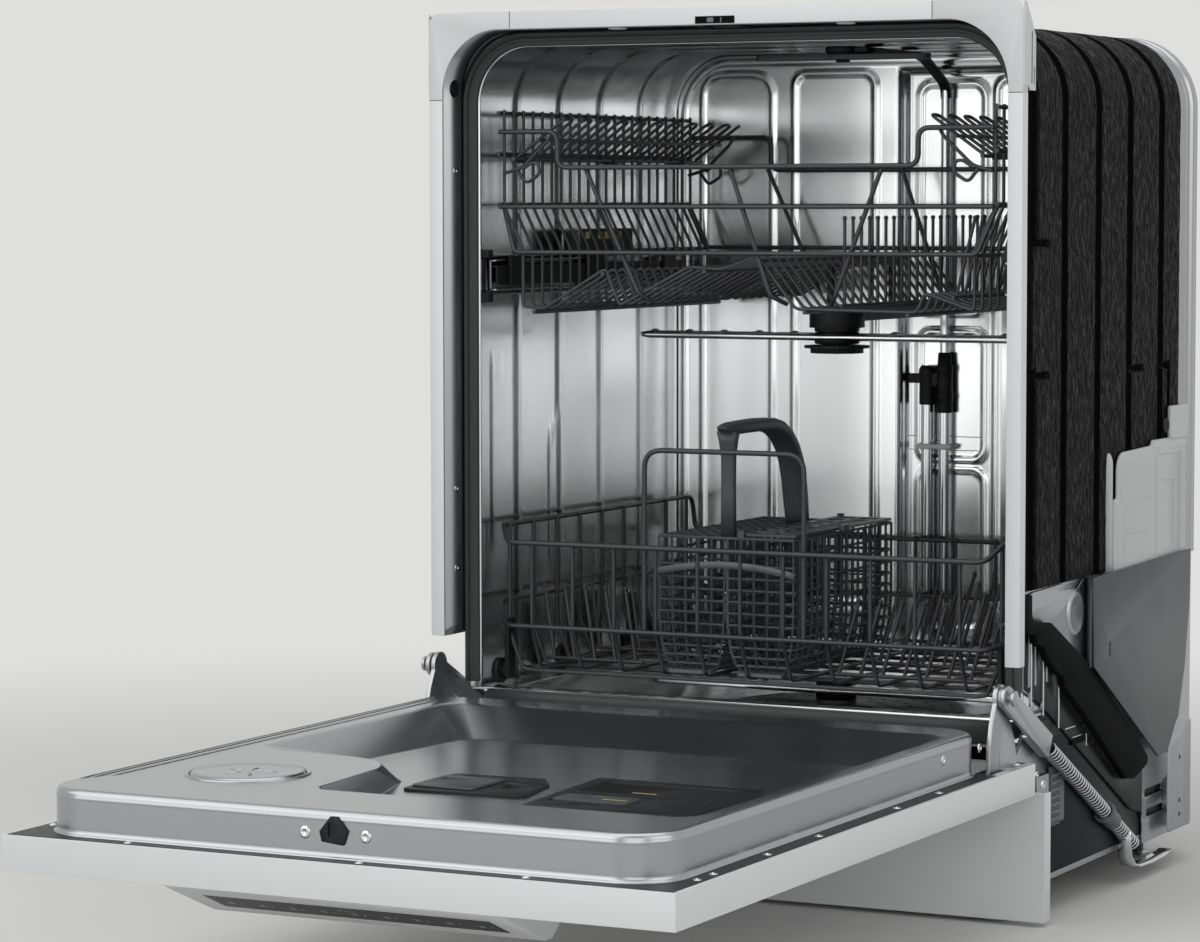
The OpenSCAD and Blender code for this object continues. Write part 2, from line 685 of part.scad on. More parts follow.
low_x = 256;
low_y = [52, 488];
floor_z = 206;
side_wires = [for (i = [0:8]) 74 + i * 49];
end_wires = [for (i = [-5:5]) i * lower_pitch];
wire_4 = 4;

// One end: two rings that turn the corners, and uprights that bend in to the floor
module lower_end(y, s, rim) {
  for (z = [[rim, 345, rim_wire_d], [250, 250, 4.4]])
    bent_rod([[-low_x, y + s * 13, z[1]], [-low_x + 12, y, z[0]], [low_x - 12, y, z[0]],
      [low_x, y + s * 13, z[1]]], z[2]);
  for (x = end_wires) side_plate(x - wire_4 / 2, wire_4)
    formed_wire([[y + s * 3.4, rim], [y + s * 3.4, 250], [y + s * 22, 212.3]], wire_4);
}

// One side: two rings, uprights, and the brackets that carry the wheels
module lower_side() {
  for (z = [[345, rim_wire_d], [250, 4.4]])
    rod([low_x, low_y[0] + 14.9, z[0]], [low_x, low_y[1] - 14.9, z[0]], z[1]);
  for (y = side_wires) front_plate(y - wire_4 / 2, y + wire_4 / 2)
    formed_wire([[low_x - 3.4, 345], [low_x - 3.4, 240], [low_x - 17.4, 209.2]], wire_4);
  for (y = wheel_y) {
    block([low_x - 5.6, y - 7, wheel_z - 7], [low_x, y + 7, 256]);
    x_pin(y, wheel_z, low_x - 5.6, wheel_x[1] + 0.6, 3);
  }
}

module lower_floor() {
  for (x = end_wires) rod([x, low_y[0] + 19, floor_z + 3], [x, low_y[1] - 19, floor_z + 3], wire_4);
  for (y = side_wires) rod([-low_x + 14, y, floor_z], [low_x - 14, y, floor_z], wire_4);
}

// A row of slanted tines that runs across the machine
module tine_row(x0, n, y, lean) {
  z = floor_z + 7.2;
  rod([x0 - 8, y, z], [x0 + (n - 1) * 22 + 8, y, z], wire_4);
  for (i = [0:n - 1]) {
    tip = [x0 + i * 22 + lean, y + 10, 282];
    rod([x0 + i * 22, y, z], tip, 3.8);
    translate(tip) sphere(2.9, $fn = 24);
  }
}

// The bail: two legs with round corners, and the grip between them
module bail_handle() {
  y = low_y[0] + 5.3;
  r = 16;
  side = [-100, 64];
  for (s = [0, 1]) {
    rod([side[s], y, 247], [side[s], y, 406], 5);
    translate([side[s] + (s == 0 ? r : -r), y, 406]) rotate([90, 0, 0]) rotate([0, 0, 90 - 90 * s])
      rotate_extrude(angle = 90, $fn = 48) translate([r, 0]) circle(2.5, $fn = 24);
  }
  rod([side[0] + r + 0.2, y, 406 + r], [side[1] - r - 0.2, y, 406 + r], 5);
}

module lower_rack_basket() { color([0.2, 0.2, 0.21]) placed() {
  lower_floor();
  lower_end(low_y[0], 1, 330);
  lower_end(low_y[1], -1, 345);
  lower_side();
  mirror([1, 0, 0]) lower_side();
  for (y = [116, 214, 312, 410]) {
    tine_row(-226, 5, y, -16);
    tine_row(74, 7, y, 16);
  }
  bail_handle();
} }

module wheel_pair(y) { color([0.1, 0.1, 0.1]) placed() both_sides() difference() {
  union() {
    x_pin(y, wheel_z, wheel_x[0], wheel_x[1], wheel_d / 2);
    x_pin(y, wheel_z, wheel_x[0] - 1.4, wheel_x[1], 6);
  }
  x_pin(y, wheel_z, wheel_x[0] - 3, wheel_x[1] + 3, 3 + pin_gap);
  x_pin(y, wheel_z, wheel_x[1] - 1.5, wheel_x[1] + 1, 9.5);
} }

// Cutlery basket: moulded lattice walls, an arched band across the front, and a curved grip

bin_x = [-95, 46];
bin_y = [76, 312];
bin_z = [floor_z + 5.3, 341];
bin_mid = (bin_x[0] + bin_x[1]) / 2;
bin_wall = 2;
seam = 0.15;

// Pin of the slotted lids that cover the right-hand row of compartments
lid_pin = [bin_mid + 15.6, bin_z[1] + 3];

// A lattice of nx by nz openings in a drawing of width w and height h
module lattice(w, h, nx, nz, bar) {
  difference() {
    square([w, h]);
    for (i = [0:nx - 1], j = [0:nz - 1])
      translate([bar + i * (w - bar) / nx, bar + j * (h - bar) / nz])
        square([(w - bar) / nx - bar, (h - bar) / nz - bar]);
  }
}

module cutlery_basket() { color([0.24, 0.24, 0.25]) placed() {
  w = bin_x[1] - bin_x[0];
  l = bin_y[1] - bin_y[0];
  low = bin_z[0] + bin_wall + seam;
  h = bin_z[1] - low;
  inner_l = l - 2 * (bin_wall + seam);
  translate([bin_x[0], bin_y[0], bin_z[0]]) linear_extrude(bin_wall) lattice(w, l, 8, 13, 2);
  front_plate(bin_y[0], bin_y[0] + bin_wall) translate([bin_x[0], low]) lattice(w, h, 9, 8, 1.8);
  front_plate(bin_y[1] - bin_wall, bin_y[1]) translate([bin_x[0], low]) lattice(w, h, 9, 8, 1.8);
  for (x = [bin_x[0], bin_x[1] - bin_wall]) side_plate(x, bin_wall)
    translate([bin_y[0] + bin_wall + seam, low]) lattice(inner_l, h, 15, 8, 1.8);
  side_plate(bin_mid - 1, bin_wall)
    translate([bin_y[0] + bin_wall + seam, low]) lattice(inner_l, h - 8, 8, 5, 2);
  difference() {
    for (y = [bin_y[0], bin_y[1] - bin_wall])
      block([lid_pin[0] - 3.5, y, bin_z[1] - 3], [lid_pin[0] + 3.5, y + bin_wall, lid_pin[1] + 3.5]);
    y_pin(lid_pin[0], lid_pin[1], bin_y[0] - 1, bin_y[1] + 1, 1.5 + pin_gap);
  }
  front_plate(bin_y[0] - 1.5, bin_y[0] + 1) intersection() {
    difference() {
      translate([bin_mid, 4]) circle(314, $fn = 256);
      translate([bin_mid, 4]) circle(308, $fn = 256);
    }
    translate([bin_x[0], 250]) square([w, 80]);
  }
  basket_grip();
} }

module basket_grip() {
  top = 450;
  bend = [170, 380];
  r = top - bend[1];
  block([bin_mid - 8, bin_y[0] + 2.2, bin_z[1] + seam], [bin_mid + 8, bin_y[0] + 11, top - 14 - seam]);
  block([bin_mid - 12, bin_y[0] + 2.2, top - 14], [bin_mid + 12, bend[0] - seam, top]);
  side_plate(bin_mid - 12, 24) {
    difference() {
      intersection() {
        translate(bend) circle(r, $fn = 96);
        translate(bend) square(r + 10);
      }
      translate(bend) circle(r - 15, $fn = 96);
    }
    polygon([[bend[0] + r - 15, bend[1]], [bend[0] + r, bend[1]], [250, bin_z[1] + seam],
      [232, bin_z[1] + seam]]);
  }
}

module basket_lids() { color([0.22, 0.22, 0.23]) placed() {
  z = bin_z[1] + 1.4;
  y_pin(lid_pin[0], lid_pin[1], bin_y[0] + 0.3, bin_y[1] - 0.3, 1.5);
  translate([0, 0, z]) linear_extrude(2.6) difference() {
    translate([lid_pin[0], bin_y[0] + 3]) square([bin_x[1] - lid_pin[0], bin_y[1] - bin_y[0] - 6]);
    for (i = [0:8], j = [0:1]) translate([lid_pin[0] + 4 + j * 24, bin_y[0] + 8 + i * 25]) square([19, 17]);
  }
  block([bin_x[1] - 2, 180, z], [bin_x[1] + 5, 196, z + 5]);
} }

// Door

module door_panel() { color("gainsboro") placed() difference() {
  block([-half_w, -door_reach, panel_low], [half_w, panel_back, panel_top]);
  block([-half_w + 1.4, -door_reach + 1.4, panel_low + 1], [half_w - 1.4, panel_back - 1.4, panel_top - 1]);
  block([-258, -door_reach + 42, panel_low + 1], [258, -66, panel_top + 1]);
  both_sides() block([271, -42, panel_low + 3.2], [288.5, panel_back + 1, panel_top + 1]);
} }

module basin_outline(grow) {
  x0 = -240 - grow;
  x1 = 262 + grow;
  y0 = -590 - grow;
  y1 = -62 + grow;
  r = 22 + grow;
  difference() {
    rounded([x0, y0], [x1, y1], r);
    translate([-400, -800]) square([400 - 88 - grow, 800 - 411 - grow]);
    polygon([[-88 - grow, -800], [-88 - grow, -411 - grow], [-72 - grow, -600], [-72 - grow, -800]]);
  }
}

module door_liner() { color("silver") placed() {
  y0 = -679;
  y1 = -28;
  difference() {
    translate([0, 0, panel_top]) linear_extrude(liner_t) rounded([-277, y0], [277, y1], 42);
    translate([0, 0, panel_top - 1]) linear_extrude(liner_t)
      rounded([-277 + 1.2, y0 + 1.2], [277 - 1.2, y1 - 1.2], 42 - 1.2);
    translate([0, 0, liner_top - 3]) linear_extrude(6) basin_outline(0);
  }
  difference() {
    translate([0, 0, basin_z - 1]) linear_extrude(liner_top - basin_z + 1) basin_outline(1.1);
    translate([0, 0, basin_z]) linear_extrude(30) basin_outline(0);
    block([cup[0][0] - 1.8, cup[0][1] - 1.8, basin_z - 5], [cup[1][0] + 1.8, cup[1][1] + 1.8, basin_z + 5]);
  }
} }

module hinge_arm_shape() {
  polygon([[-38, panel_top], [-37, 176], [-31, 196], [-22, 214], [link_pin[0], link_pin[1] + 4],
    [link_pin[0] + 4, 210], [12, 192], [22, 176], [27, 160], [27, panel_top]]);
  translate(link_pin) circle(12, $fn = 64);
  polygon([[-26, 138], [-26, panel_top + 1], [16, panel_top + 1], [16, 138]]);
}

module hinge_arms() { color("darkgray") placed() both_sides() {
  difference() {
    side_plate(281.5, 4) hinge_arm_shape();
    x_pin(pivot_y, pivot_z, 270, 292, pivot_r + pin_gap);
  }
  block([285.4, -12, panel_top], [296, 27, panel_top + 2.4]);
  x_pin(link_pin[0], link_pin[1], 285.4, 296.6, 4);
  x_pin(link_pin[0], link_pin[1], 296.6, 299.2, 7);
  x_pin(link_pin[0], link_pin[1], 285.4, 287.6, 9);
} }

module dispenser_housing() { color("dimgray") placed() {
  difference() {
    union() {
      translate([0, 0, basin_z]) linear_extrude(5)
        polygon([[-84, -343], [2, -337], [20, -364], [33, -432], [-82, -440]]);
      block([cup[0][0] - 1.8, cup[0][1] - 1.8, cup_floor - 2],
        [cup[1][0] + 1.8, cup[1][1] + 1.8, basin_z + 1]);
    }
    block([cup[0][0], cup[0][1], cup_floor], [cup[1][0], cup[1][1], basin_z + 6]);
    block([-66, -359, basin_z + 1.4], [-18, -347, basin_z + 6]);
  }
  difference() {
    translate([0, 0, basin_z]) linear_extrude(5)
      polygon([[50, -486], [38, -309], [200, -313], [196, -460], [186, -468]]);
    block([56, -384, basin_z + 1.4], [176, -324, basin_z + 6]);
    block([56, -440, basin_z + 1.4], [128, -404, basin_z + 6]);
    for (x = [81, 89], y = [-420, -408]) block([x, y, basin_z - 1], [x + 24, y + 3, basin_z + 3]);
  }
} }

module detergent_lid() { color("gray") placed() {
  translate([0, 0, basin_z + 5.3]) linear_extrude(3) rounded(cup[0] - [2, 2], cup[1] + [2, 2], 4);
  block([-72, -386, basin_z + 8], [-26, -380, basin_z + 11]);
} }

module rinse_aid_lid() { color("gray") placed() {
  block([58, -434, basin_z + 5.3], [126, -406, basin_z + 8]);
  x_pin(-406, basin_z + 6.9, 64, 120, 1.6);
  block([84, -416, basin_z + 7.9], [104, -412, basin_z + 10]);
} }

module vent_cap() { color("silver") placed() translate([-165, -541, liner_top]) {
  cylinder(h = 2.4, r = 52, $fn = 96);
  translate([0, 0, 2]) cylinder(h = 2.2, r = 46, $fn = 96);
  for (a = [0:60:300]) translate([30 * cos(a), 30 * sin(a), 4]) cylinder(h = 1.2, r = 4, $fn = 24);
} }

module latch_hook() { color([0.1, 0.1, 0.1]) placed() difference() {
  front_plate(-681.8, -679) polygon([[-11, 166], [-13, 174], [-3, 186], [3, 186], [12, 175], [8, 164]]);
  front_plate(-683, -680.2) translate([-5, 170]) square([2.6, 11]);
} }

module control_fascia() { color("lightgray") placed() difference() {
  side_plate(-150, 300) polygon([[-694, panel_low], [-676, 116], [-618, 92], [-608, 92], [-596, 100],
    [-590, panel_low]]);
  side_plate(-138, 276)
    polygon([[-628, 107], [-580, 107], [-580, panel_low - 5], [-642, panel_low - 5]]);
  translate([0, -676, 116]) rotate([-22.5, 0, 0]) block([-128, 6, -1], [128, 46, 2]);
} }

module control_glass() { color([0.03, 0.03, 0.03]) placed()
  translate([0, -676, 116]) rotate([-22.5, 0, 0]) block([-127.8, 6.2, 0.1], [127.8, 45.8, 2]);
}

// Fasteners

module cabinet_screws() { color("silver") placed() {
  both_sides() {
    for (z = [684, 382, 306]) x_pin(24, z, inner_x - 1.6, inner_x, 3.4);
    x_pin(96, 134, 278.5, 280.6, 4.6);
  }
  for (x = [-110, 120]) translate([x, 22, inner_top - 1.8]) cylinder(h = 1.8, r = 9, $fn = 48);
} }

module door_screws() { color("silver") placed() {
  both_sides() {
    for (y = [-640, -612, -514, -416, -256, -163])
      translate([288, y, panel_top]) cylinder(h = 1.6, r = 3.6, $fn = 32);
    for (y = [-127, -42]) x_pin(y, 176, 277, 278.4, 4.4);
    translate([291, 12, panel_top + 2.4]) cylinder(h = 2.2, r = 3.4, $fn = 32);
  }
  for (x = [-27, 27]) y_pin(x, 172, -680.4, -679, 5);
  for (x = [-184, 26, 170]) translate([x, -688, panel_top]) cylinder(h = 1.4, r = 3.4, $fn = 32);
} }

// Balance linkage

// Places its children with X across the machine and Y running from the pin to the anchor
module along_link() { translate([0, link_pin[0], link_pin[1]]) rotate([link_tilt, 0, 0]) children(); }

module link_levers() { color("darkgray") placed() both_sides() along_link() difference() {
  union() {
    side_plate(288.4, 4) {
      circle(11, $fn = 64);
      translate([0, -11]) square([lever_reach, 22]);
    }
    difference() {
      block([283.2, 70, -11], [289, lever_reach, 11]);
      block([280, 64, -8.6], [289, lever_reach - 12, 8.6]);
    }
  }
  x_pin(0, 0, 280, 296, 4 + pin_gap);
} }

coil_r = (spring_d - spring_wire_d) / 2;
coil_start = lever_reach + 0.1;
coil_end = link_run - anchor_block - 0.3;
lead = spring_wire_d;
coil_len = coil_end - coil_start - 2 * lead;
rings = 8;
tube_n = 6;
steps = spring_curls * rings;

// The wire's middle line, with a straight stretch along the axis at each end
function coil_point(i) =
  let (t = i / steps, a = 360 * spring_curls * t,
    pull = min(1, min(i, steps - i) / (rings / 2)), r = coil_r * pull)
  [r * cos(a), coil_start + lead + coil_len * t, r * sin(a)];
coil_path = concat([[0, coil_start, 0]], [for (i = [0:steps]) coil_point(i)], [[0, coil_end, 0]]);

// Least distance between the surface of the wire and itself, from half a curl away onwards
coil_gap = min([for (i = [0:steps - rings / 2]) for (k = [rings / 2:min(2 * rings, steps - i)])
  norm(coil_point(i + k) - coil_point(i))]) - spring_wire_d;
echo(spring_least_gap_mm = coil_gap);

module coil_tube() {
  last = len(coil_path) - 1;
  frames = [for (i = [0:last])
    let (f = i == 0 || i == last ? [0, 1, 0] : unit(coil_path[i + 1] - coil_path[i - 1]),
      c = coil_path[i], out = norm([c[0], c[2]]) < 0.01 ? [1, 0, 0] : unit([c[0], 0, c[2]]),
      b = unit(cross(f, out)), n = cross(b, f))
    [c, n, b]];
  points = [for (f = frames) for (k = [0:tube_n - 1])
    f[0] + spring_wire_d / 2 * (cos(k * 60) * f[1] + sin(k * 60) * f[2])];
  sides = [for (i = [0:last - 1]) for (k = [0:tube_n - 1]) for (h = [0, 1])
    let (a = i * tube_n + k, b = i * tube_n + (k + 1) % tube_n)
    h == 0 ? [a, b, b + tube_n] : [a, b + tube_n, a + tube_n]];
  start_cap = [for (k = [1:tube_n - 2]) [0, k + 1, k]];
  end_cap = [for (k = [1:tube_n - 2]) [last * tube_n, last * tube_n + k, last * tube_n + k + 1]];
  polyhedron(points = points, faces = concat(sides, start_cap, end_cap), convexity = 10);
}

module balance_spring_right() { color("gray") placed() along_link() translate([link_x, 0, 0]) coil_tube(); }

module balance_spring_left() { color("gray") placed() along_link() translate([-link_x, 0, 0]) coil_tube(); }

module spring_collars() { color("lightgray") placed() both_sides() along_link() translate([link_x, 0, 0])
  difference() {
    union() {
      y_pin(0, 0, collar_at, collar_at + 4, 11);
      y_pin(0, 0, collar_at + 4, collar_at + 30, 9.6);
    }
    y_pin(0, 0, collar_at - 1, collar_at + 40, 8.2);
  }
}

// Feet

module foot(x, y) {
  translate([x, y, 0]) cylinder(h = 7, r = 18, $fn = 48);
  translate([x, y, 6]) cylinder(h = 58, r = 5, $fn = 48);
  translate([x, y, 7]) cylinder(h = 6, r = 9, $fn = 6);
}

module front_feet() { color("silver") placed() both_sides() foot(240, 96); }

module rear_feet() { color("silver") placed() both_sides() foot(240, 484); }

tub_wrap();
tub_back();
tub_floor();
rear_flange();
frame_strip_top();
frame_strips_side();
corner_covers();
door_gasket();
insulation_mat();
water_tank();
base_tray();
base_side_left();
base_side_right();
side_shield();
side_baffle();
toe_panel();
hinge_brackets();
latch_strike();
supply_pipes();
roof_duct();
sump();
wash_pump();
filter_plate();
rack_rails();
cabinet_screws();
door_panel();
door_liner();
hinge_arms();
dispenser_housing();
vent_cap();
latch_hook();
control_fascia();
control_glass();
door_screws();
detergent_lid();
rinse_aid_lid();
link_levers();
balance_spring_left();
balance_spring_right();
spring_collars();
upper_rack_basket();
upper_spray_feed();
mid_rails();
upper_spray_arm();
cup_shelf_left();
cup_shelf_right();
lower_rack_basket();
cutlery_basket();
basket_lids();
lower_spray_arm();
roof_spray_arm();
filter_cup();
wheel_pair(wheel_y[0]);  // wheels_1
wheel_pair(wheel_y[1]);  // wheels_2
wheel_pair(wheel_y[2]);  // wheels_3
wheel_pair(wheel_y[3]);  // wheels_4
front_feet();
rear_feet();
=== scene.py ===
# %% [markdown]
# # A freestanding dishwasher with its door open
# The solids of the machine come from a CAD part: every panel, rack and hinge already has its size and
# place. This lesson dresses them: it gives each surface its real finish and redraws in finer mesh the
# pieces whose roundness the eye looks for, such as wires, springs and pressed sheet.

# %% Load the frame
import bpy, bmesh, json, math
from mathutils import Matrix, Vector


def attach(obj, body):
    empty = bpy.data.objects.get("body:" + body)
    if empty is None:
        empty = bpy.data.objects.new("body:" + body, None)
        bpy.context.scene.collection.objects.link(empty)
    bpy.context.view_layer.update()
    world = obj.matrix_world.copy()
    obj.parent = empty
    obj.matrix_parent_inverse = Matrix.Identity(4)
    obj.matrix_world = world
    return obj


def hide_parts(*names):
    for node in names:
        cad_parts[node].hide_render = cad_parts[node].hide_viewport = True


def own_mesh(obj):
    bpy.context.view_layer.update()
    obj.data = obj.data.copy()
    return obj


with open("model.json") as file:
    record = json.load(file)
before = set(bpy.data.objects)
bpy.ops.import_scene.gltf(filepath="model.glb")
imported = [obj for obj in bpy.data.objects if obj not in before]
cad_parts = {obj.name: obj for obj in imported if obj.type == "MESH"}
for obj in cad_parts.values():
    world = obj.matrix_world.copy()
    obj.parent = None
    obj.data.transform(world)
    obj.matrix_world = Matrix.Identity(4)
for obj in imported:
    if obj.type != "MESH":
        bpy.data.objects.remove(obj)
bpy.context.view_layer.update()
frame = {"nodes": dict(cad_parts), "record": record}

# %% [markdown]
# ## Millimetres and pieces
# A machine like this is drawn in millimetres from the front face of its cabinet, which stands 87 mm
# behind the frame's origin, so the values below read like a drawing. One helper moves a point into
# Blender's metres, and one turns points and faces into an object. A piece says which body it rides on,
# which slot and finish it has and which CAD solids it stands for. Most pieces come in pairs, left and
# right of the machine's middle, so the two signs and their names are kept together.

# %% Helpers for points and pieces
FRONT = 87.0
BOTH = ((-1, "left"), (1, "right"))


def place(x, y, z):
    return (x / 1000, (y + FRONT) / 1000, z / 1000)


def show(name, data):
    piece = bpy.data.objects.new(name, data)
    bpy.context.scene.collection.objects.link(piece)
    return piece


def keep(piece, body, slot, paint, stands_for=()):
    if piece.data.materials:
        piece.data.materials[0] = paint
    else:
        piece.data.materials.append(paint)
    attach(piece, body)
    if stands_for:
        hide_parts(*stands_for)
    return piece


def shell(name, points, faces, smooth=True):
    data = bpy.data.meshes.new(name)
    data.from_pydata([place(*p) for p in points], [], faces)
    data.validate()
    piece = show(name, data)
    work = bmesh.new()
    work.from_mesh(data)
    bmesh.ops.remove_doubles(work, verts=work.verts, dist=1e-6)
    bmesh.ops.recalc_face_normals(work, faces=work.faces)
    work.to_mesh(data)
    work.free()
    if smooth:
        data.shade_smooth()
    return piece


def modify(piece, kind, **settings):
    step = piece.modifiers.new(kind.title(), kind)
    for key, value in settings.items():
        setattr(step, key, value)
    return step


def set_mesh(piece):
    seen = piece.evaluated_get(bpy.context.evaluated_depsgraph_get())
    fixed = bpy.data.meshes.new_from_object(seen)
    piece.modifiers.clear()
    piece.data = fixed
    return piece


def thicken(piece, metres=0.001):
    modify(piece, "SOLIDIFY", thickness=metres, offset=0.0)
    return set_mesh(piece)


def circle(count, closed=True):
    turns = [2 * math.pi * k / count for k in range(count + closed)]
    return [(math.cos(a), math.sin(a)) for a in turns]


def loft(name, rows, ring=False, capped=False):
    wide = len(rows[0])
    points = [p for row in rows for p in row]
    faces = []
    for i in range(len(rows) - 1):
        for k in range(wide if ring else wide - 1):
            a, b = i * wide + k, i * wide + (k + 1) % wide
            faces.append((a, b, b + wide, a + wide))
    if capped:
        faces.append(tuple(range(wide)))
        faces.append(tuple((len(rows) - 1) * wide + k for k in reversed(range(wide))))
    return shell(name, points, faces)


# %% [markdown]
# ## Finishes
# Each finish starts from the real stuff and the way its surface was made. Colours are picked as the hex
# values of a screen, and one function turns them into the linear light that Blender mixes. A helper
# adds a node with its settings and its links. Three more put it to use: one makes a noise in the
# piece's own metres, one lets a noise vary the roughness, and one lets it raise the surface.

# %% Colour and node helpers
def tone(hex_value):
    parts = [int(hex_value[i:i + 2], 16) / 255 for i in (0, 2, 4)]
    return tuple(p / 12.92 if p <= 0.04045 else ((p + 0.055) / 1.055) ** 2.4 for p in parts) + (1.0,)


def add(tree, kind, settings=None, links=None):
    node = tree.nodes.new(kind)
    for key, value in (settings or {}).items():
        if isinstance(key, int) or key in node.inputs:
            node.inputs[key].default_value = value
        else:
            setattr(node, key, value)
    for key, source in (links or {}).items():
        tree.links.new(source, node.inputs[key])
    return node


def finish(name, colour, metallic, roughness, ior=1.5, level=0.5):
    paint = bpy.data.materials.new(name)
    paint.use_nodes = True
    surface = paint.node_tree.nodes["Principled BSDF"]
    surface.inputs["Base Color"].default_value = tone(colour)
    surface.inputs["Metallic"].default_value = metallic
    surface.inputs["Roughness"].default_value = roughness
    surface.inputs["IOR"].default_value = ior
    surface.inputs["Specular IOR Level"].default_value = level
    return paint, surface


def noise_of(surface, scale, detail=2.0, drawn_out=None, **more):
    tree = surface.id_data
    spot = add(tree, "ShaderNodeTexCoord").outputs["Object"]
    if drawn_out:
        spot = add(tree, "ShaderNodeMapping", {"Scale": drawn_out}, {"Vector": spot}).outputs["Vector"]
    settings = {"Scale": scale, "Detail": detail, **more}
    return add(tree, "ShaderNodeTexNoise", settings, {"Vector": spot}).outputs["Fac"]


def vary_gloss(surface, pattern, low, high, span=(0.0, 1.0)):
    settings = {"From Min": span[0], "From Max": span[1], "To Min": low, "To Max": high}
    gloss = add(surface.id_data, "ShaderNodeMapRange", settings, {"Value": pattern})
    surface.id_data.links.new(gloss.outputs["Result"], surface.inputs["Roughness"])


def raise_skin(surface, pattern, strength, metres, under=None):
    links = {"Height": pattern}
    if under:
        links["Normal"] = under.outputs["Normal"]
    skin = add(surface.id_data, "ShaderNodeBump", {"Strength": strength, "Distance": metres}, links)
    surface.id_data.links.new(skin.outputs["Normal"], surface.inputs["Normal"])
    return skin


# %% [markdown]
# ### Stainless steel of the tub
# The tub is cold-rolled stainless sheet with a bright finish. Rolls leave it almost a mirror, with very
# shallow waves that bend reflections and grain lines about 0.3 mm apart, too fine to see here, so they
# are drawn 2 mm apart. A stretched noise drives the roughness and a wide soft noise gives the waves.

# %% Bright rolled steel
bright_steel, surface = finish("stainless_bright_rolled", "DDDEDF", 1.0, 0.2)
vary_gloss(surface, noise_of(surface, 500.0, 3.0, (1.0, 0.06, 1.0)), 0.15, 0.24)
raise_skin(surface, noise_of(surface, 9.0, 1.0), 0.02, 0.004)

# %% [markdown]
# ### Stainless steel of the door liner
# The liner is the same sheet, but brushed after pressing: it looks darker and its highlights smear
# across the door. Brush lines stand about 0.2 mm apart and are drawn 1 mm apart.

# %% Brushed steel
brushed_steel, surface = finish("stainless_brushed", "A6A8AB", 1.0, 0.25)
brush = noise_of(surface, 1000.0, 2.0, (0.04, 1.0, 1.0))
vary_gloss(surface, brush, 0.235, 0.265)
raise_skin(surface, brush, 0.01, 0.0001)

# %% [markdown]
# ### Zinc plated steel
# Levers, brackets and springs are steel with a thin zinc coat. The coat is dull grey with a faint cloud
# of crystals a few millimetres wide, so the colour and the gloss both wander a little.

# %% Zinc plated steel
zinc_plate, surface = finish("steel_zinc_plated", "A9ABAE", 1.0, 0.34)
cloud = noise_of(surface, 160.0, 5.0)
greys = {"Color1": tone("A0A2A5"), "Color2": tone("B2B4B7")}
shade = add(surface.id_data, "ShaderNodeMixRGB", greys, {"Fac": cloud})
surface.id_data.links.new(shade.outputs["Color"], surface.inputs["Base Color"])
vary_gloss(surface, cloud, 0.28, 0.46)

# %% [markdown]
# ### Phosphated steel, and painted shade
# Phosphating, a dip before any paint, turns bare steel dark grey and slightly mottled, with a weak metal
# sheen. The liner's foot flange is such sheet; inside the base this dark grey is painted shade behind the
# linkage.

# %% Phosphated steel, and painted shade
dark_steel, surface = finish("steel_phosphated_and_painted_shade", "303234", 1.0, 0.42)
vary_gloss(surface, noise_of(surface, 240.0, 4.0), 0.34, 0.54)

# %% [markdown]
# ### Steel coated in the coil
# The large shield is stamped from sheet that was coated as a coil, a smooth grey between the zinc and
# the phosphate. It is plain to the eye, with only a slow change of gloss over a few centimetres.

# %% Coil coated steel
coil_steel, surface = finish("steel_coil_coated_grey", "5C5E61", 1.0, 0.42)
vary_gloss(surface, noise_of(surface, 22.0), 0.36, 0.46)

# %% [markdown]
# ### Painted steel
# The frame, the door and the toe panel are coil-coated sheet: a smooth light grey paint with a very
# fine orange peel about 2 mm across. It scatters light evenly, with a soft sheen from its clear coat.

# %% Coil-coated paint
sheet_paint, surface = finish("steel_coil_coated", "D3D4D5", 0.0, 0.38)
raise_skin(surface, noise_of(surface, 500.0), 0.06, 0.0002)
surface.inputs["Coat Weight"].default_value = 0.15
surface.inputs["Coat Roughness"].default_value = 0.25

# %% [markdown]
# ### Nylon coated wire
# The racks are steel wire dipped in nylon powder that melts to a smooth, slightly waxy graphite skin.
# A coarse noise of about 3 mm varies its gloss, as the melt pools unevenly along a wire.

# %% Nylon coated wire
wire_nylon, surface = finish("wire_nylon_coated", "292A2D", 0.0, 0.4, 1.53)
vary_gloss(surface, noise_of(surface, 330.0), 0.3, 0.5)

# %% [markdown]
# ### Moulded plastics
# Housings, hooks and wheels are moulded polypropylene. The mould is spark eroded, which leaves a grain
# of about 0.2 mm; it is drawn 0.8 mm wide so that it still shows as a soft, dry sheen. The same recipe
# serves for the black, the dark grey, the mid grey and the light grey mouldings. The last one is filled
# with mineral dust, so its skin is matt and swallows most of the sheen.

# %% Dark, grey and light mouldings
mouldings = {}
for name, colour, rough, level in (("polypropylene_black", "17181A", 0.46, 0.25),
                                   ("polypropylene_dark_grey", "3A3C3F", 0.45, 0.5),
                                   ("polypropylene_grey", "5C5E61", 0.42, 0.5),
                                   ("abs_light_grey", "C9CACB", 0.36, 0.5),
                                   ("polypropylene_mineral_filled", "0F1011", 0.6, 0.03)):
    mouldings[name], surface = finish(name, colour, 0.0, rough, 1.49, level)
    spark = noise_of(surface, 1250.0)
    vary_gloss(surface, spark, rough - 0.06, rough + 0.1)
    raise_skin(surface, spark, 0.12, 0.0002)
black_plastic, dark_plastic, grey_plastic, light_plastic, filled_plastic = mouldings.values()
print("mouldings:", ", ".join(mouldings))

# %% [markdown]
# ### Natural polypropylene of the water tank
# The tank is blow moulded from plastic with no pigment. It is milky, lets light soak in a few
# millimetres and has a waxy gloss, so it gets subsurface light and a little transmission.

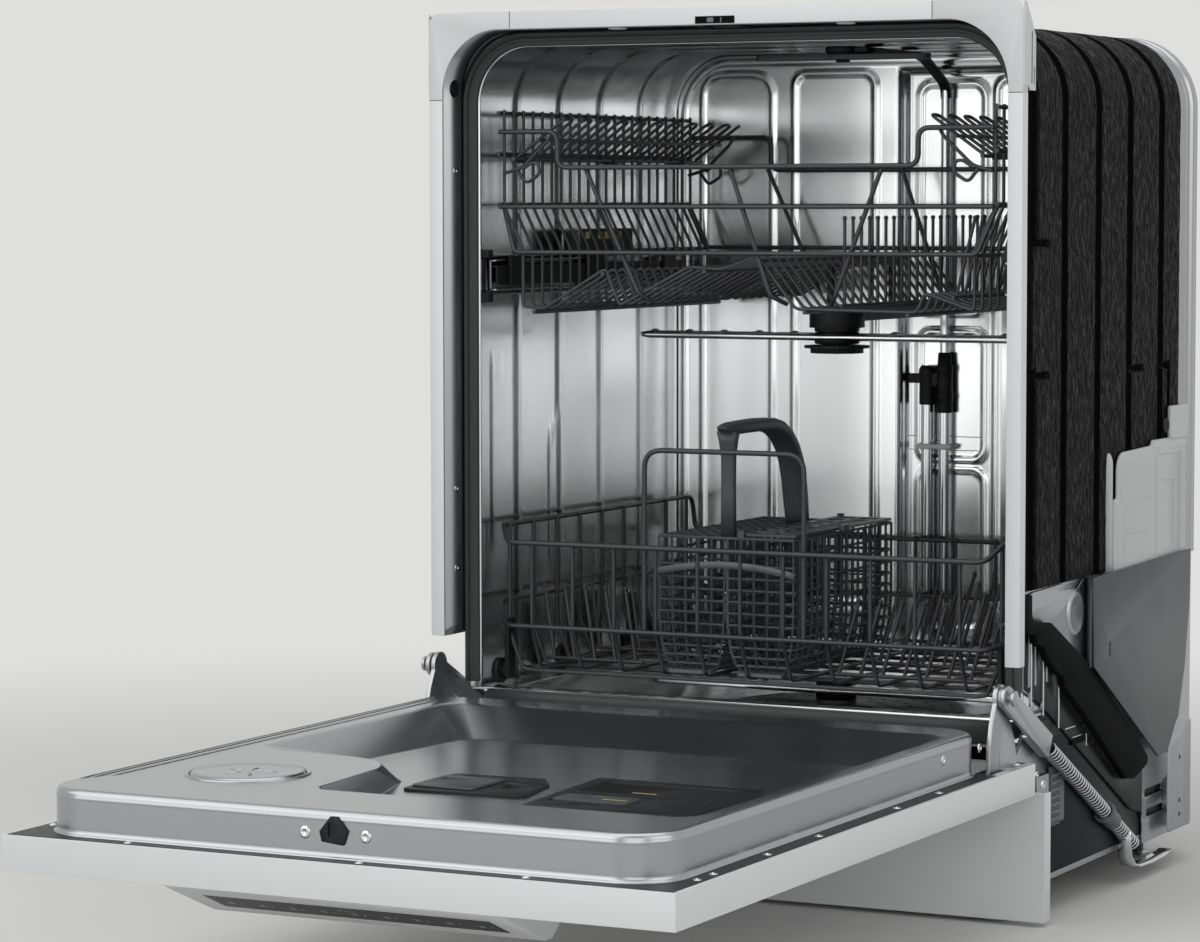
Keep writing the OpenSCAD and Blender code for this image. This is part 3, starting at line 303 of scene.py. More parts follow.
# %% Milky tank plastic
milky_plastic, surface = finish("polypropylene_natural", "C6C7C8", 0.0, 0.34, 1.49)
surface.inputs["Subsurface Weight"].default_value = 0.5
surface.inputs["Subsurface Radius"].default_value = (0.006, 0.006, 0.006)
surface.inputs["Transmission Weight"].default_value = 0.12
raise_skin(surface, noise_of(surface, 60.0, 3.0), 0.15, 0.0008)

# %% [markdown]
# ### Rubber seal
# The door seal is extruded EPDM rubber: nearly black and dull, with a fine powdery change of gloss.

# %% Extruded rubber
seal_rubber, surface = finish("epdm_rubber_extruded", "303132", 0.0, 0.62, 1.52)
vary_gloss(surface, noise_of(surface, 260.0), 0.5, 0.74)

# %% [markdown]
# ### Bitumen fleece
# The sound mat is bitumen felt pressed over the tub while warm. Its skin creases like old leather, in
# short ridges about 6 mm wide and 12 mm long. One stretched noise makes the ridges and a fine one makes
# the felt. Fibres trap light, so the sheen is weak, and only the tops of the ridges shine a little
# where the bitumen shows. The grooves get a darker, duller felt, which is painted shade.

# %% Pressed fleece, with painted shade in its grooves
fleece, surface = finish("bitumen_fleece_pressed", "0C0C0D", 0.0, 0.6, level=0.07)
folds = noise_of(surface, 150.0, 3.0, (1.0, 1.0, 0.55), Roughness=0.55, Distortion=0.6)
deep = raise_skin(surface, folds, 0.9, 0.009)
raise_skin(surface, noise_of(surface, 700.0), 0.2, 0.0006, deep)
vary_gloss(surface, folds, 0.75, 0.34, (0.35, 0.7))
# The grooves' darker, duller felt is painted shade, for the shade that falls in them.
groove_shade_fleece, surface = finish("bitumen_fleece_painted_groove_shade", "070707", 0.0, 0.8, level=0.03)
vary_gloss(surface, noise_of(surface, 700.0), 0.7, 0.9)

# %% [markdown]
# ### Dark glass, and printed marks
# The control window is float glass with black enamel printed behind it, so it is a deep gloss black
# with only dust-fine variation. It is bloomed against glare, so it mirrors far less than bare glass.
# Marks on it are white enamel, and two lines on the dispenser are yellow.

# %% Glass and print
control_black, surface = finish("float_glass_black_enamel", "0B0B0C", 0.0, 0.06, 1.52, 0.03)
vary_gloss(surface, noise_of(surface, 90.0, 3.0), 0.04, 0.1)
prints = {}
for name, colour in (("enamel_print_white", "E4E4E2"), ("pad_print_yellow", "C9BE6A")):
    prints[name], surface = finish(name, colour, 0.0, 0.5)
    vary_gloss(surface, noise_of(surface, 700.0, 1.0), 0.42, 0.6)
white_print, yellow_print = prints.values()

# %% [markdown]
# ### Chrome plated tube
# The water pipes and the screws are plated or electropolished: a clean mirror with hardly any haze.

# %% Bright plated metal
chrome_plate, surface = finish("steel_electropolished", "D2D3D5", 1.0, 0.1)
vary_gloss(surface, noise_of(surface, 40.0, 3.0), 0.06, 0.15)
print("finishes:", len(bpy.data.materials))

# %% [markdown]
# A slot names the kind of surface a piece has in the CAD record. Each finish goes with one or two slots,
# so the pairs that come back again and again get a short name of their own.

# %% Pairs of slot and finish
polished, polished_liner = ("steel_polished", bright_steel), ("steel_polished", brushed_steel)
polished_tube = ("steel_polished", chrome_plate)
satin, satin_screw = ("steel_satin", brushed_steel), ("steel_satin", chrome_plate)
zinc, zinc_bright = ("steel_zinc", zinc_plate), ("steel_zinc", chrome_plate)
# zinc_dark: the liner flange's phosphated sheet, and painted shade on the sheets inside the base
zinc_dark = ("steel_zinc", dark_steel)
black, matt_black = ("plastic_dark", black_plastic), ("plastic_dark", filled_plastic)
dark_grey, mid_grey = ("plastic_grey", dark_plastic), ("plastic_grey", grey_plastic)
light_grey, yellow = ("plastic_light", light_plastic), ("plastic_light", yellow_print)
milky, rubber = ("tank_plastic", milky_plastic), ("rubber_seal", seal_rubber)
wire = ("wire_coated", wire_nylon)

# %% [markdown]
# ## Studio
# The floor is a plain pale sweep and the light is soft: a wide lamp over the left front, weaker ones
# at the side and above, and a pale world that fills the shadows. Polished steel shows what it faces, so
# two large dim panels stand low in front, one each side, for the tub's walls to mirror. The camera
# stands where the edges of the frame, the door and the tub in the photo say it stood.

# %% Camera
sensor_mm, photo_px, focal_px = 36.0, 1200, 3916.92
eye = (1.52746, -3.14918, 0.65533)
yaw, pitch, roll = 0.4703, 0.0688, -0.00113
camera = show("camera", bpy.data.cameras.new("camera"))
camera.matrix_world = (Matrix.Translation(eye) @ Matrix.Rotation(yaw, 4, "Z")
                       @ Matrix.Rotation(math.pi / 2 - pitch, 4, "X") @ Matrix.Rotation(roll, 4, "Z"))
camera.data.sensor_width = sensor_mm
camera.data.lens = focal_px / photo_px * sensor_mm
bpy.context.scene.camera = camera
print("lens", round(camera.data.lens, 1), "mm")

# %% [markdown]
# The floor melts into the backdrop: near the machine it is a matt surface that takes its shadow, and
# further out it glows in the backdrop's colour. World and glow are seen directly, in mirrors and
# through the milky tank, while diffuse surfaces get a dimmer fill from the world.

# %% Floor and world
def either(tree, a, b):
    return add(tree, "ShaderNodeMath", {"operation": "MAXIMUM"}, {0: a, 1: b}).outputs[0]


def seen_by(tree):
    rays = add(tree, "ShaderNodeLightPath").outputs
    seen = either(tree, rays["Is Camera Ray"], rays["Is Glossy Ray"])
    return either(tree, seen, rays["Is Transmission Ray"])


far_out, low_down = 9000, -0.4
ground = [(x * far_out, y * far_out, low_down) for x, y in ((-1, -1), (1, -1), (1, 1), (-1, 1))]
floor = shell("studio_floor", ground, [(0, 1, 2, 3)])
pale, surface = finish("studio_floor_matt", "DCDCDA", 0.0, 0.9)
backdrop = {"Color": tone("DFDFDD"), "Strength": 1.0}
tree = surface.id_data
where = add(tree, "ShaderNodeTexCoord")
away = add(tree, "ShaderNodeVectorMath", {"operation": "LENGTH"}, {0: where.outputs["Object"]})
far = add(tree, "ShaderNodeMapRange", {"From Min": 0.9, "From Max": 2.4, "interpolation_type": "SMOOTHSTEP"},
          {"Value": away.outputs["Value"]})
how_much = add(tree, "ShaderNodeMath", {"operation": "MULTIPLY"}, {0: far.outputs[0], 1: seen_by(tree)})
glow = add(tree, "ShaderNodeEmission", backdrop)
blend = add(tree, "ShaderNodeMixShader", {},
            {0: how_much.outputs[0], 1: surface.outputs[0], 2: glow.outputs[0]})
tree.links.new(blend.outputs[0], tree.nodes["Material Output"].inputs["Surface"])
floor.data.materials.append(pale)

sky = bpy.data.worlds.new("studio_world")
bpy.context.scene.world = sky
sky.use_nodes = True
tree = sky.node_tree
tree.nodes.clear()
fill = add(tree, "ShaderNodeBackground", {"Color": tone("E9EAEB"), "Strength": 0.5})
clear = add(tree, "ShaderNodeBackground", backdrop)
both = add(tree, "ShaderNodeMixShader", {}, {0: seen_by(tree), 1: fill.outputs[0], 2: clear.outputs[0]})
add(tree, "ShaderNodeOutputWorld", {}, {"Surface": both.outputs[0]})
bpy.context.scene.view_settings.view_transform = "Standard"

# %% [markdown]
# Each lamp is a dim panel several metres wide that the camera doesn't see. Small bright lamps would burn
# white spots into the steel, and these leave soft bands instead.

# %% Lamps
def lamp(name, spot, towards, size, power):
    light = bpy.data.lights.new(name, "AREA")
    light.shape, light.energy = "RECTANGLE", power
    light.size, light.size_y = size
    stand = show(name, light)
    stand.location = spot
    aim = Vector(towards) - Vector(spot)
    stand.rotation_euler = aim.to_track_quat("-Z", "Y").to_euler()
    stand.visible_camera = False


lamp("lamp_key", (-1.9, -2.6, 2.7), (0, 0, 0.4), (4.2, 3.2), 50)
lamp("lamp_side", (3.3, -0.8, 1.7), (0, 0.2, 0.4), (3.0, 2.4), 24)
lamp("lamp_right_front", (1.9, -3.9, 1.1), (0, 0.4, 0.4), (2.8, 2.0), 18)
lamp("lamp_left_front", (-1.7, -3.6, 0.95), (0, 0.4, 0.5), (2.6, 1.8), 15)
lamp("lamp_top", (0.2, -0.3, 3.0), (0, -0.1, 0.2), (3.4, 2.4), 28)
print("lamps:", len(bpy.data.lights))

# %% [markdown]
# ## The tub
# The tub is one sheet bent over a former: flat sides, round upper corners and a flat roof, with four
# ribs pressed in so that it doesn't drum. It could be a cube with bevels, but its section never
# changes, so it is lofted: one arch of points is repeated at many depths. Each row may be pushed in
# or out a little, which is how the ribs and the pressed L marks of the side walls appear. An arch runs
# up the left wall, round a quarter circle, over the roof and down again, and each of its points knows
# which way is outward.

# %% Arch sections
HALF, ROOF, CORNER, TUB_FOOT, MAT_FOOT = 279, 808, 62, 190, 306


def arch(y, half, top, low, radius, push=None, tall=60, turn=12, wide=36):
    spots = []
    for i in range(tall):
        spots.append((-half, low + (top - radius - low) * i / tall, -1, 0))
    for i in range(turn + 1):
        a = math.pi / 2 * i / turn
        spots.append((-half + radius - radius * math.cos(a), top - radius + radius * math.sin(a),
                      -math.cos(a), math.sin(a)))
    for i in range(1, wide):
        spots.append((-half + radius + 2 * (half - radius) * i / wide, top, 0, 1))
    row = spots + [(-x, z, -nx, nz) for x, z, nx, nz in reversed(spots[:tall + turn + 1])]
    grow = push or (lambda y, z, side: 0.0)
    return [(x + nx * grow(y, z, abs(nx)), y, z + nz * grow(y, z, abs(nx))) for x, z, nx, nz in row]


def bump(distance, half_width, height):
    d = abs(distance)
    return height * math.cos(math.pi * d / 2 / half_width) ** 2 if d < half_width else 0.0


def stretch(t, low, high):
    return max(low, min(high, t))


def to_line(y, z, a, b):
    run = (b[0] - a[0], b[1] - a[1])
    t = stretch(((y - a[0]) * run[0] + (z - a[1]) * run[1]) / (run[0] ** 2 + run[1] ** 2), 0, 1)
    return math.hypot(y - a[0] - t * run[0], z - a[1] - t * run[1])


ribs = (138, 228, 316, 407)
pressed = [((86, 330), (86, 498)), ((86, 498), (106, 498)), ((205, 300), (205, 420)),
           ((205, 420), (222, 446)), ((222, 446), (222, 700))]


def pressed_in(y, z, side):
    depth = sum(bump(y - rib, 9, 2.2) for rib in ribs)
    if side > 0.99:
        depth += max(bump(to_line(y, z, a, b), 3.4, 1.8) for a, b in pressed)
    return -depth


# %% [markdown]
# The front return is a band of its own that joins the tub to the frame. The tub's first rows turn in a
# narrow lip behind the seal, and then the walls run back with a row every 2.5 mm.

# %% Tub wrap with its front return and lip
turned = [arch(y, half, top, 243, bend) for y, half, top, bend in
          ((2, 284, 815.6, 57), (41, 284, 815.6, 57), (43.4, 283.2, 814.8, 57.4), (44, 281.4, 813, 58))]
keep(thicken(loft("tub_front_return", turned)), "cabinet", *satin)
rows = [arch(y, half, top, TUB_FOOT, bend) for y, half, top, bend in
        ((44, 281.4, 813, 58), (44, 279.2, 811, 57), (44, 270, 802, 53), (44.8, 268.4, 800.4, 52),
         (46.6, 268.2, 800.2, 52), (52, 277.4, 806.6, 60))]
rows += [arch(min(58 + 2.5 * i, 498), HALF, ROOF, TUB_FOOT, CORNER, pressed_in) for i in range(177)]
tub = thicken(loft("tub_wrap_sheet", rows))
tub.data.shade_smooth()
keep(tub, "cabinet", *polished, ["tub_wrap"])
print("tub sheet:", len(tub.data.vertices), "points")

# %% [markdown]
# The back wall is one more pressing. Its left part stands 20 mm in front of the right part, which
# leaves room for the water pipes, and round-cornered beads stiffen both. It is a grid of points whose
# depth is worked out from the distance to each bead, the same trick as a height map but in metres.

# %% Back wall
beads = [(-248, 236, -168, 787, 22), (-143, 236, -52, 787, 14), (74, 236, 246, 780, 14),
         (-10, 389, 62, 521, 14), (-10, 214, 62, 380, 14), (-10, 540, 62, 775, 14)]


def to_frame(x, z, box):
    x0, z0, x1, z1, r = box
    dx, dz = abs(x - (x0 + x1) / 2) - (x1 - x0) / 2 + r, abs(z - (z0 + z1) / 2) - (z1 - z0) / 2 + r
    return math.hypot(max(dx, 0), max(dz, 0)) + min(max(dx, dz), 0) - r


def wall_depth(x, z):
    t = stretch((x + 27) / 5, 0, 1) * stretch((791 - z) / 4, 0, 1)
    step = 498.2 + 19.6 * t * t * (3 - 2 * t)
    near = [b for b in beads if (b[2] < -30) == (x < -25)]
    rims = [(-269, 120, 269, 799.5, 54)] if z > 700 or x < -30 else []
    return step - max(bump(to_frame(x, z, b), 4.4, 2.8) for b in near + rims)


columns, tall = 228, 216
points, faces = [], []
for i in range(columns + 1):
    x = -HALF + 2 * HALF * i / columns
    edge = max(abs(x) - (HALF - CORNER), 0)
    top = ROOF - CORNER + math.sqrt(max(CORNER ** 2 - edge ** 2, 0))
    for k in range(tall + 1):
        z = TUB_FOOT + (top - TUB_FOOT) * k / tall
        points.append((x, wall_depth(x, z), z))
for i in range(columns):
    for k in range(tall):
        a = i * (tall + 1) + k
        faces.append((a, a + tall + 1, a + tall + 2, a + 1))
back = thicken(shell("tub_back_wall", points, faces))
keep(back, "cabinet", *polished, ["tub_back"])
close = [arch(y, HALF, ROOF, TUB_FOOT, CORNER, None, 40, 12, 20) for y in (497.5, 508, 519)]
keep(thicken(loft("tub_back_return", close)), "cabinet", *polished)
print("back wall:", len(back.data.vertices), "points")

# %% [markdown]
# Round the outside come a folded steel flange at the back, the rubber seal in the front return and the
# fleece mat. All three follow the same arch, so each is a profile of depth and height above the tub,
# swept over it.

# %% Flange and seal
fold = [(466, 2.1), (466.4, 5), (468, 5.6), (484, 5.6), (485.6, 6.4), (487, 7.9), (490, 7.9), (491.4, 6.4),
        (493, 5.6), (497, 5.6), (498, 6.6), (499, 8.6), (500.4, 9), (512, 9), (513.6, 8.2), (514, 6),
        (514, 2.1)]
flange = [arch(y, HALF + h, ROOF + h, MAT_FOOT, CORNER + h, None, 24, 18, 16) for y, h in fold]
keep(loft("rear_flange_fold", flange), "cabinet", *satin, ["rear_flange"])
lip = [(43.7, 1.0), (41, 1.0), (39.8, 2.4), (39.3, 4.4), (38.8, 5.6), (37.2, 6.2), (36.7, 7.4),
       (37.3, 8.8), (38.9, 9.6), (38.9, 10.8), (36.8, 11.2), (36, 12.4), (36.6, 13.6), (38.6, 14.2),
       (40.6, 14.8), (43.7, 15)]
seal = [arch(y, 268 + h, 800 + h * 0.96, 196, 52 + h, None, 24, 18, 16) for y, h in lip]
keep(loft("door_seal_profile", seal), "cabinet", *rubber, ["door_gasket"])

# %% [markdown]
# The mat is up to 8.4 mm thick. It is pressed down over the ribs and along a few straight lines near
# its edges, and it bulges and wrinkles between them, so a fixed noise moves its points. Faces in these
# grooves take the darker felt, which is painted shade.

# %% Fleece mat
from mathutils import noise

slits = [((62, 617), (62, 800), 5.5), ((62, 617), (97, 617), 1.8), ((62, 306), (62, 498), 5.5),
         ((62, 498), (97, 498), 1.8), ((316, 495), (356, 495), 1.8), ((407, 495), (434, 495), 1.8),
         ((434, 425), (434, 495), 2.2)]


def in_slit(y, z):
    return min(to_line(y, z, a, b) - half for a, b, half in slits)


def mat_height(y, z, side):
    near = min(abs(y - rib) for rib in ribs)
    height = 4.2 + 3.6 * stretch((near - 6.6) / 1.8, 0, 1)
    soft = noise.noise(Vector((y / 14, z / 30, side * 3))) + 0.5 * noise.noise(Vector((y / 5, z / 9, 7)))
    height = min(8.4, height + 0.5 * soft)
    if side > 0.99:
        height = min(height, 2.6 + 2.6 * max(in_slit(y, z), 0))
    ends = min(y - 56.5, 466 - y)
    return height * min(1, max(0, ends) / 2) ** 0.5 if ends < 2 else height


steps = [56.5, 57, 57.6, 465.4, 466] + [58.4 + 2.7 * i for i in range(151)]
steps += [rib + d for rib in ribs for d in (-8.4, -7.5, -6.6, 0, 6.6, 7.5, 8.4)]
steps += [slit + d for slit in (62, 434) for d in (-4, -2, 0, 2, 4, 6.5)]
steps = sorted({round(y, 2) for y in steps})
rows = [arch(y, HALF, ROOF, MAT_FOOT, CORNER, mat_height, 200, 16, 50) for y in steps]
mat = loft("fleece_mat_pressed", rows)
keep(mat, "cabinet", "mat_fleece", fleece, ["insulation_mat"])
# Faces in the rib grooves and the side slits get the painted-shade felt.
mat.data.materials.append(groove_shade_fleece)
for face in mat.data.polygons:
    x, y, z = (1000 * v for v in face.center)
    y -= FRONT
    in_groove = min(abs(y - rib) for rib in ribs) < 8.6
    face.material_index = int(in_groove or (abs(x) > HALF and in_slit(y, z) < 1.2))
print("mat:", len(mat.data.vertices), "points")

# %% [markdown]
# ## The door
# The open door shows its steel liner: a tray with upright walls and a shallow basin pressed into it.
# The basin has wide sloping sides, and a raised corner for the vent juts into it. The sheet is built
# as closed outlines stacked like contour lines, from the foot flange up the wall, over a round edge,
# and down the slopes to the basin's floor. The two flat parts between them are filled afterwards.
# Each corner of an outline becomes an arc that touches both of its edges, and inset moves all the edges
# inwards by the same amount.

# %% Rounded and shrunken outlines
def outline(corners, radii, steps=10):
    path, count = [], len(corners)
    for i, c in enumerate(corners):
        before, after = corners[i - 1], corners[(i + 1) % count]
        u = Vector((before[0] - c[0], before[1] - c[1])).normalized()
        v = Vector((after[0] - c[0], after[1] - c[1])).normalized()
        half = math.acos(stretch(u.dot(v), -1, 1)) / 2
        away = radii[i] / math.sin(half)
        centre = Vector(c) + (u + v).normalized() * away
        start = Vector(c) + u * radii[i] / math.tan(half)
        end = Vector(c) + v * radii[i] / math.tan(half)
        a0 = math.atan2(*(start - centre).yx)
        a1 = math.atan2(*(end - centre).yx)
        sweep = (a1 - a0 + math.pi) % (2 * math.pi) - math.pi
        for k in range(steps + 1):
            a = a0 + sweep * k / steps
            path.append((centre.x + radii[i] * math.cos(a), centre.y + radii[i] * math.sin(a)))
    return path


def level(path, z):
    return [(x, y, z) for x, y in path]


def grown(low, high, by, radius, steps=10):
    x0, y0, x1, y1 = low[0] - by, low[1] - by, high[0] + by, high[1] + by
    return outline([(x1, y0), (x1, y1), (x0, y1), (x0, y0)], [max(radius + by, 0.2)] * 4, steps)


def mixed(a, b, t):
    return [(p[0] + (q[0] - p[0]) * t, p[1] + (q[1] - p[1]) * t) for p, q in zip(a, b)]


def inset(corners, by):
    count, area = len(corners), 0
    for i in range(count):
        area += corners[i - 1][0] * corners[i][1] - corners[i][0] * corners[i - 1][1]
    turn, moved = math.copysign(1, area), []
    for i in range(count):
        p, c, q = (Vector(corners[(i + k) % count]) for k in (-1, 0, 1))
        n, m = (Vector((-(e.y), e.x)) * turn for e in ((c - p).normalized(), (q - c).normalized()))
        moved.append(tuple(c + (n + m) * by / (1 + n.dot(m))))
    return moved


# %% [markdown]
# A pressing is a list of such outlines, one above the other, with a flat part inside the last one. The
# flat part may hold pockets, which are pressings of their own. So one function that calls itself does.

# %% Sheets pressed with pockets
from mathutils.geometry import tessellate_polygon


def press(points, faces, rows, pockets=(), flat=True):
    start, wide = len(points), len(rows[0])
    points += [p for row in rows for p in row]
    for i in range(len(rows) - 1):
        for k in range(wide):
            a, b = start + i * wide + k, start + i * wide + (k + 1) % wide
            faces.append((a, b, b + wide, a + wide))
    loops = [list(range(len(points) - wide, len(points)))]
    loops += [press(points, faces, *pocket) for pocket in pockets]
    if flat:
        ends = [i for loop in loops for i in loop]
        for tri in tessellate_polygon([[Vector(points[i]) for i in loop] for loop in loops]):
            faces.append(tuple(ends[k] for k in tri))
    return list(range(start, start + wide))


def pressing(name, rows, pockets):
    points, faces = [], []
    press(points, faces, rows, pockets)
    return shell(name, points, faces)


# %% [markdown]
# The liner's wall starts in a foot flange, climbs 37 mm with a small bead near its top, and turns over
# a round edge of 4.5 mm. The slopes of the basin lead from one six-cornered outline to a smaller one.

# %% Door liner
low, high, foot, top, floor_z = (-277, -679), (277, -28), 152.8, 189.8, 167.2
rim = [(2.6, foot), (2.6, foot + 0.9), (1.5, foot + 1.4), (0.7, foot + 2.3), (0.2, foot + 3.6),
       (0, foot + 5.4), (0, top - 8.2), (0.4, top - 7.4), (0.45, top - 6.4), (0.15, top - 5.4),
       (0, top - 4.6)]
edge, bends = 4.5, (0.26, 0.52, 0.79, 1.05, 1.31, 1.571)
rim += [(-edge + edge * math.cos(a), top - edge + edge * math.sin(a)) for a in bends]
walls = [level(grown(low, high, by, 42, 12), z) for by, z in rim]
upper = outline([(262, -72), (-240, -72), (-240, -405), (-90, -425), (-74, -588), (262, -588)],
                [22, 16, 20, 60, 14, 26], 14)
lower = outline([(246, -140), (-186, -142), (-194, -300), (-104, -395), (-56, -556), (246, -556)],
                [20, 14, 24, 60, 12, 22], 14)
slope = [(-0.07, 0.0), (-0.04, 0.006), (0.0, 0.022), (0.04, 0.056), (0.08, 0.095), (0.5, 0.5),
         (0.92, 0.905), (0.96, 0.944), (1.0, 0.978), (1.04, 0.994), (1.07, 1.0)]
basin = [level(mixed(upper, lower, t), top - 22.6 * d) for t, d in slope]
cup = [(-76, -424), (-22, -424), (-22, -366), (-76, -366)]
liner = pressing("door_liner_pressing", walls, [(basin, [([level(cup, floor_z)], (), False)])])
modify(liner, "SOLIDIFY", thickness=0.0008, offset=0.0)
modify(liner, "WEIGHTED_NORMAL", keep_sharp=True, weight=100)
set_mesh(liner)
keep(liner, "door", "steel_polished", brushed_steel, ["door_liner"])
print("liner:", len(liner.data.vertices), "points")

# %% [markdown]
# ### Detergent and rinse-aid dispensers
# Two dark mouldings sit in the basin, almost flush with the steel. Each is pressed from its own outline
# with the same helper: a small round edge, a flat top and pockets in it. The left one holds the cup,
# which a sliding lid covers, and the right one has a long window and the rinse-aid lid.

# %% Dispensers
def plate(name, corners, radii, base, tall, pockets, body, paint, stands_for=()):
    rows = [level(outline(inset(corners, by), [max(r - by, 0.5) for r in radii], 5), base + up)
            for by, up in ((0, 0), (0, tall - 0.8), (0.25, tall - 0.3), (0.8, tall))]
    holes = []
    for low, high, deep in pockets:
        box = [(high[0], low[1]), (high[0], high[1]), (low[0], high[1]), (low[0], low[1])]
        holes.append(([level(outline(inset(box, by), [max(2.4 - by, 0.4)] * 4, 4), base + tall - down)
                       for by, down in ((0, 0), (0.4, 0.3), (0.5, 0.8), (0.6, deep))],))
    return keep(pressing(name, rows, holes), body, "plastic_grey", paint, stands_for)


from_floor = floor_z + 0.2
left_plate = [(-83, -343), (2, -337), (20, -364), (32, -431), (-81, -439)]
left_pockets = [((-74, -422), (-24, -368), 19), ((-66, -359), (-18, -347), 1.6),
                ((-8, -402), (18, -380), 1.0)]
plate("dispenser_left_plate", left_plate, [9, 6, 8, 9, 8], from_floor, 2.4, left_pockets, "door",
      black_plastic, ["dispenser_housing"])
right_plate = [(51, -485), (39, -310), (199, -314), (195, -459), (186, -467)]
right_pockets = [((56, -384), (176, -324), 1.8), ((56, -440), (130, -402), 1.8),
                 ((100, -452), (112, -446), 1.0)]
plate("dispenser_right_plate", right_plate, [9, 10, 12, 4, 6], from_floor, 2.4, right_pockets, "door",
      black_plastic)
sliding = [(-78, -426), (-20, -426), (-20, -364), (-78, -364)]
plate("detergent_lid_sliding", sliding, [4] * 4, floor_z + 3, 1.6, [((-72, -390), (-26, -376), 0.9)],
      "detergent_flap", dark_plastic, ["detergent_lid"])
hinged = [(58, -434), (126, -434), (126, -405), (58, -405)]
plate("rinse_aid_lid_hinged", hinged, [3] * 4, floor_z + 1.4, 2.2, [((82, -418), (106, -410), 0.9)],
      "rinse_aid_flap", dark_plastic, ["rinse_aid_lid"])
print("dispenser plates: 2, lids: 2")

# %% [markdown]
# Three narrow beads are pressed along the liner's left rim, one beside the other. Each is a low strip
# lofted along the rim, and it rises from the sheet at both ends.

# %% Rim beads
strips = ((-258.6, 3, -606, -60), (-266.4, 1.4, -620, -48), (-271, 1, -630, -40))
for k, (x, wide, first, last) in enumerate(strips):
    strip = []
    for y, lift in ((first - 2, 0.1), (first, 0.1), (first + 6, 1.0), (first + 14, 1.3), (last - 6, 1.3),
                    (last, 0.1)):
        half = [(wide + 1, 189.4), (wide, 189.7 + lift * 0.8), (wide * 0.5, 189.8 + lift)]
        strip.append([(x - off, y, z) for off, z in half] + [(x + off, y, z) for off, z in reversed(half)])
    keep(loft(f"liner_rim_bead_{k}", strip, True, True), "door", *polished_liner)

# %% [markdown]
# ## Folded and moulded pieces
# Brackets, strips and housings already have the right shape in the CAD solids, but every edge there is
# perfectly sharp. Real sheet and mouldings have small round edges that catch a line of light. So each
# is copied, its mesh is joined up, and a bevel of 0.3 to 1.2 mm rounds the edges.

# %% Softened copies
def softened(node, body, slot, paint, millimetres):
    data = frame["nodes"][node].data.copy()
    piece = show(node + "_soft", data)
    work = bmesh.new()
    work.from_mesh(data)
    bmesh.ops.remove_doubles(work, verts=work.verts, dist=2e-5)
    bmesh.ops.dissolve_limit(work, angle_limit=math.radians(1.0), verts=work.verts, edges=work.edges)
    work.to_mesh(data)
    work.free()
    data.materials.clear()
    modify(piece, "BEVEL", width=millimetres / 1000, segments=2, limit_method="ANGLE",
           angle_limit=math.radians(38), harden_normals=True, use_clamp_overlap=True)
    data.shade_smooth()
    set_mesh(piece)
    return keep(piece, body, slot, paint, [node])


record = frame["record"]
slot_of = {part["node"]: part["material_slot"] for part in record["subparts"]}
body_of = {node: body for body, nodes in record["behaviour"]["bodies"].items() for node in nodes}
look = dict([polished, satin, zinc, black, dark_grey, light_grey, ("steel_painted", sheet_paint)])
edges = {
    "frame_strip_top": 0.5, "frame_strips_side": 0.5, "corner_covers": 0.6,
    "base_side_left": 0.5, "base_side_right": 0.5, "side_shield": 0.8, "toe_panel": 0.6,
    "hinge_brackets": 0.8, "latch_strike": 0.8, "rack_rails": 0.4, "mid_rails": 0.4,
    "door_panel": 0.8, "hinge_arms": 0.8, "latch_hook": 0.5, "control_fascia": 1.2,
    "link_levers": 0.8, "upper_spray_feed": 1.0, "filter_cup": 0.5, "basket_lids": 0.4,
    "front_feet": 0.5, "rear_feet": 0.5, "base_tray": 0.5, "sump": 1.0, "wash_pump": 1.0, "tub_floor": 0.8,
    "filter_plate": 0.3, "roof_spray_arm": 0.8}
for node, width in edges.items():
    paint = coil_steel if node == "side_shield" else look[slot_of[node]]
    softened(node, body_of[node], slot_of[node], paint, width)
print("softened:", len(edges))

# %% [markdown]
# ## Wires
# A rack is made of round wire bent on formers and welded where wires cross. In Blender a curve with a
# round bevel is such a wire: only its middle line has to be drawn. One helper rounds the bends, and
# one makes a set of wires of the same gauge as a single piece.

# %% Wire helpers
def rounded(points, radius, steps=5):
    if radius <= 0 or len(points) < 3:
        return [Vector(p) for p in points]
    path = [Vector(points[0])]
    for i in range(1, len(points) - 1):
        p, a, b = Vector(points[i]), Vector(points[i - 1]), Vector(points[i + 1])
        u, v = (a - p), (b - p)
        reach = min(radius, u.length * 0.45, v.length * 0.45)
        u, v = p + u.normalized() * reach, p + v.normalized() * reach
        for k in range(steps + 1):
            t = k / steps
            path.append(u * (1 - t) ** 2 + p * 2 * t * (1 - t) + v * t ** 2)
    return path + [Vector(points[-1])]


def wires(name, lines, gauge, bend=4.0, body="upper_rack", slot="wire_coated", paint=wire_nylon,
          stands_for=(), sides=3):
    data = bpy.data.curves.new(name, "CURVE")
    data.dimensions = "3D"
    data.bevel_depth = gauge / 2000
    data.bevel_resolution = sides
    data.use_fill_caps = True
    for line in lines:
        path = rounded(line, bend)
        spline = data.splines.new("POLY")
        spline.points.add(len(path) - 1)
        for point, spot in zip(spline.points, path):
            point.co = (*place(*spot), 1)
        spline.use_cyclic_u = line[0] == line[-1] and len(line) > 3
    drawn = show(name, data)
    seen = drawn.evaluated_get(bpy.context.evaluated_depsgraph_get())
    solid = show(name, bpy.data.meshes.new_from_object(seen))
    bpy.data.objects.remove(drawn)
    solid.data.shade_smooth()
    return keep(solid, body, slot, paint, stands_for)


def beads_at(name, spots, size, body):
    work = bmesh.new()
    for spot in spots:
        bmesh.ops.create_icosphere(work, subdivisions=2, radius=size / 1000,
                                   matrix=Matrix.Translation(place(*spot)))
    data = bpy.data.meshes.new(name)
    work.to_mesh(data)
    work.free()
    data.shade_smooth()
    return keep(show(name, data), body, *wire)


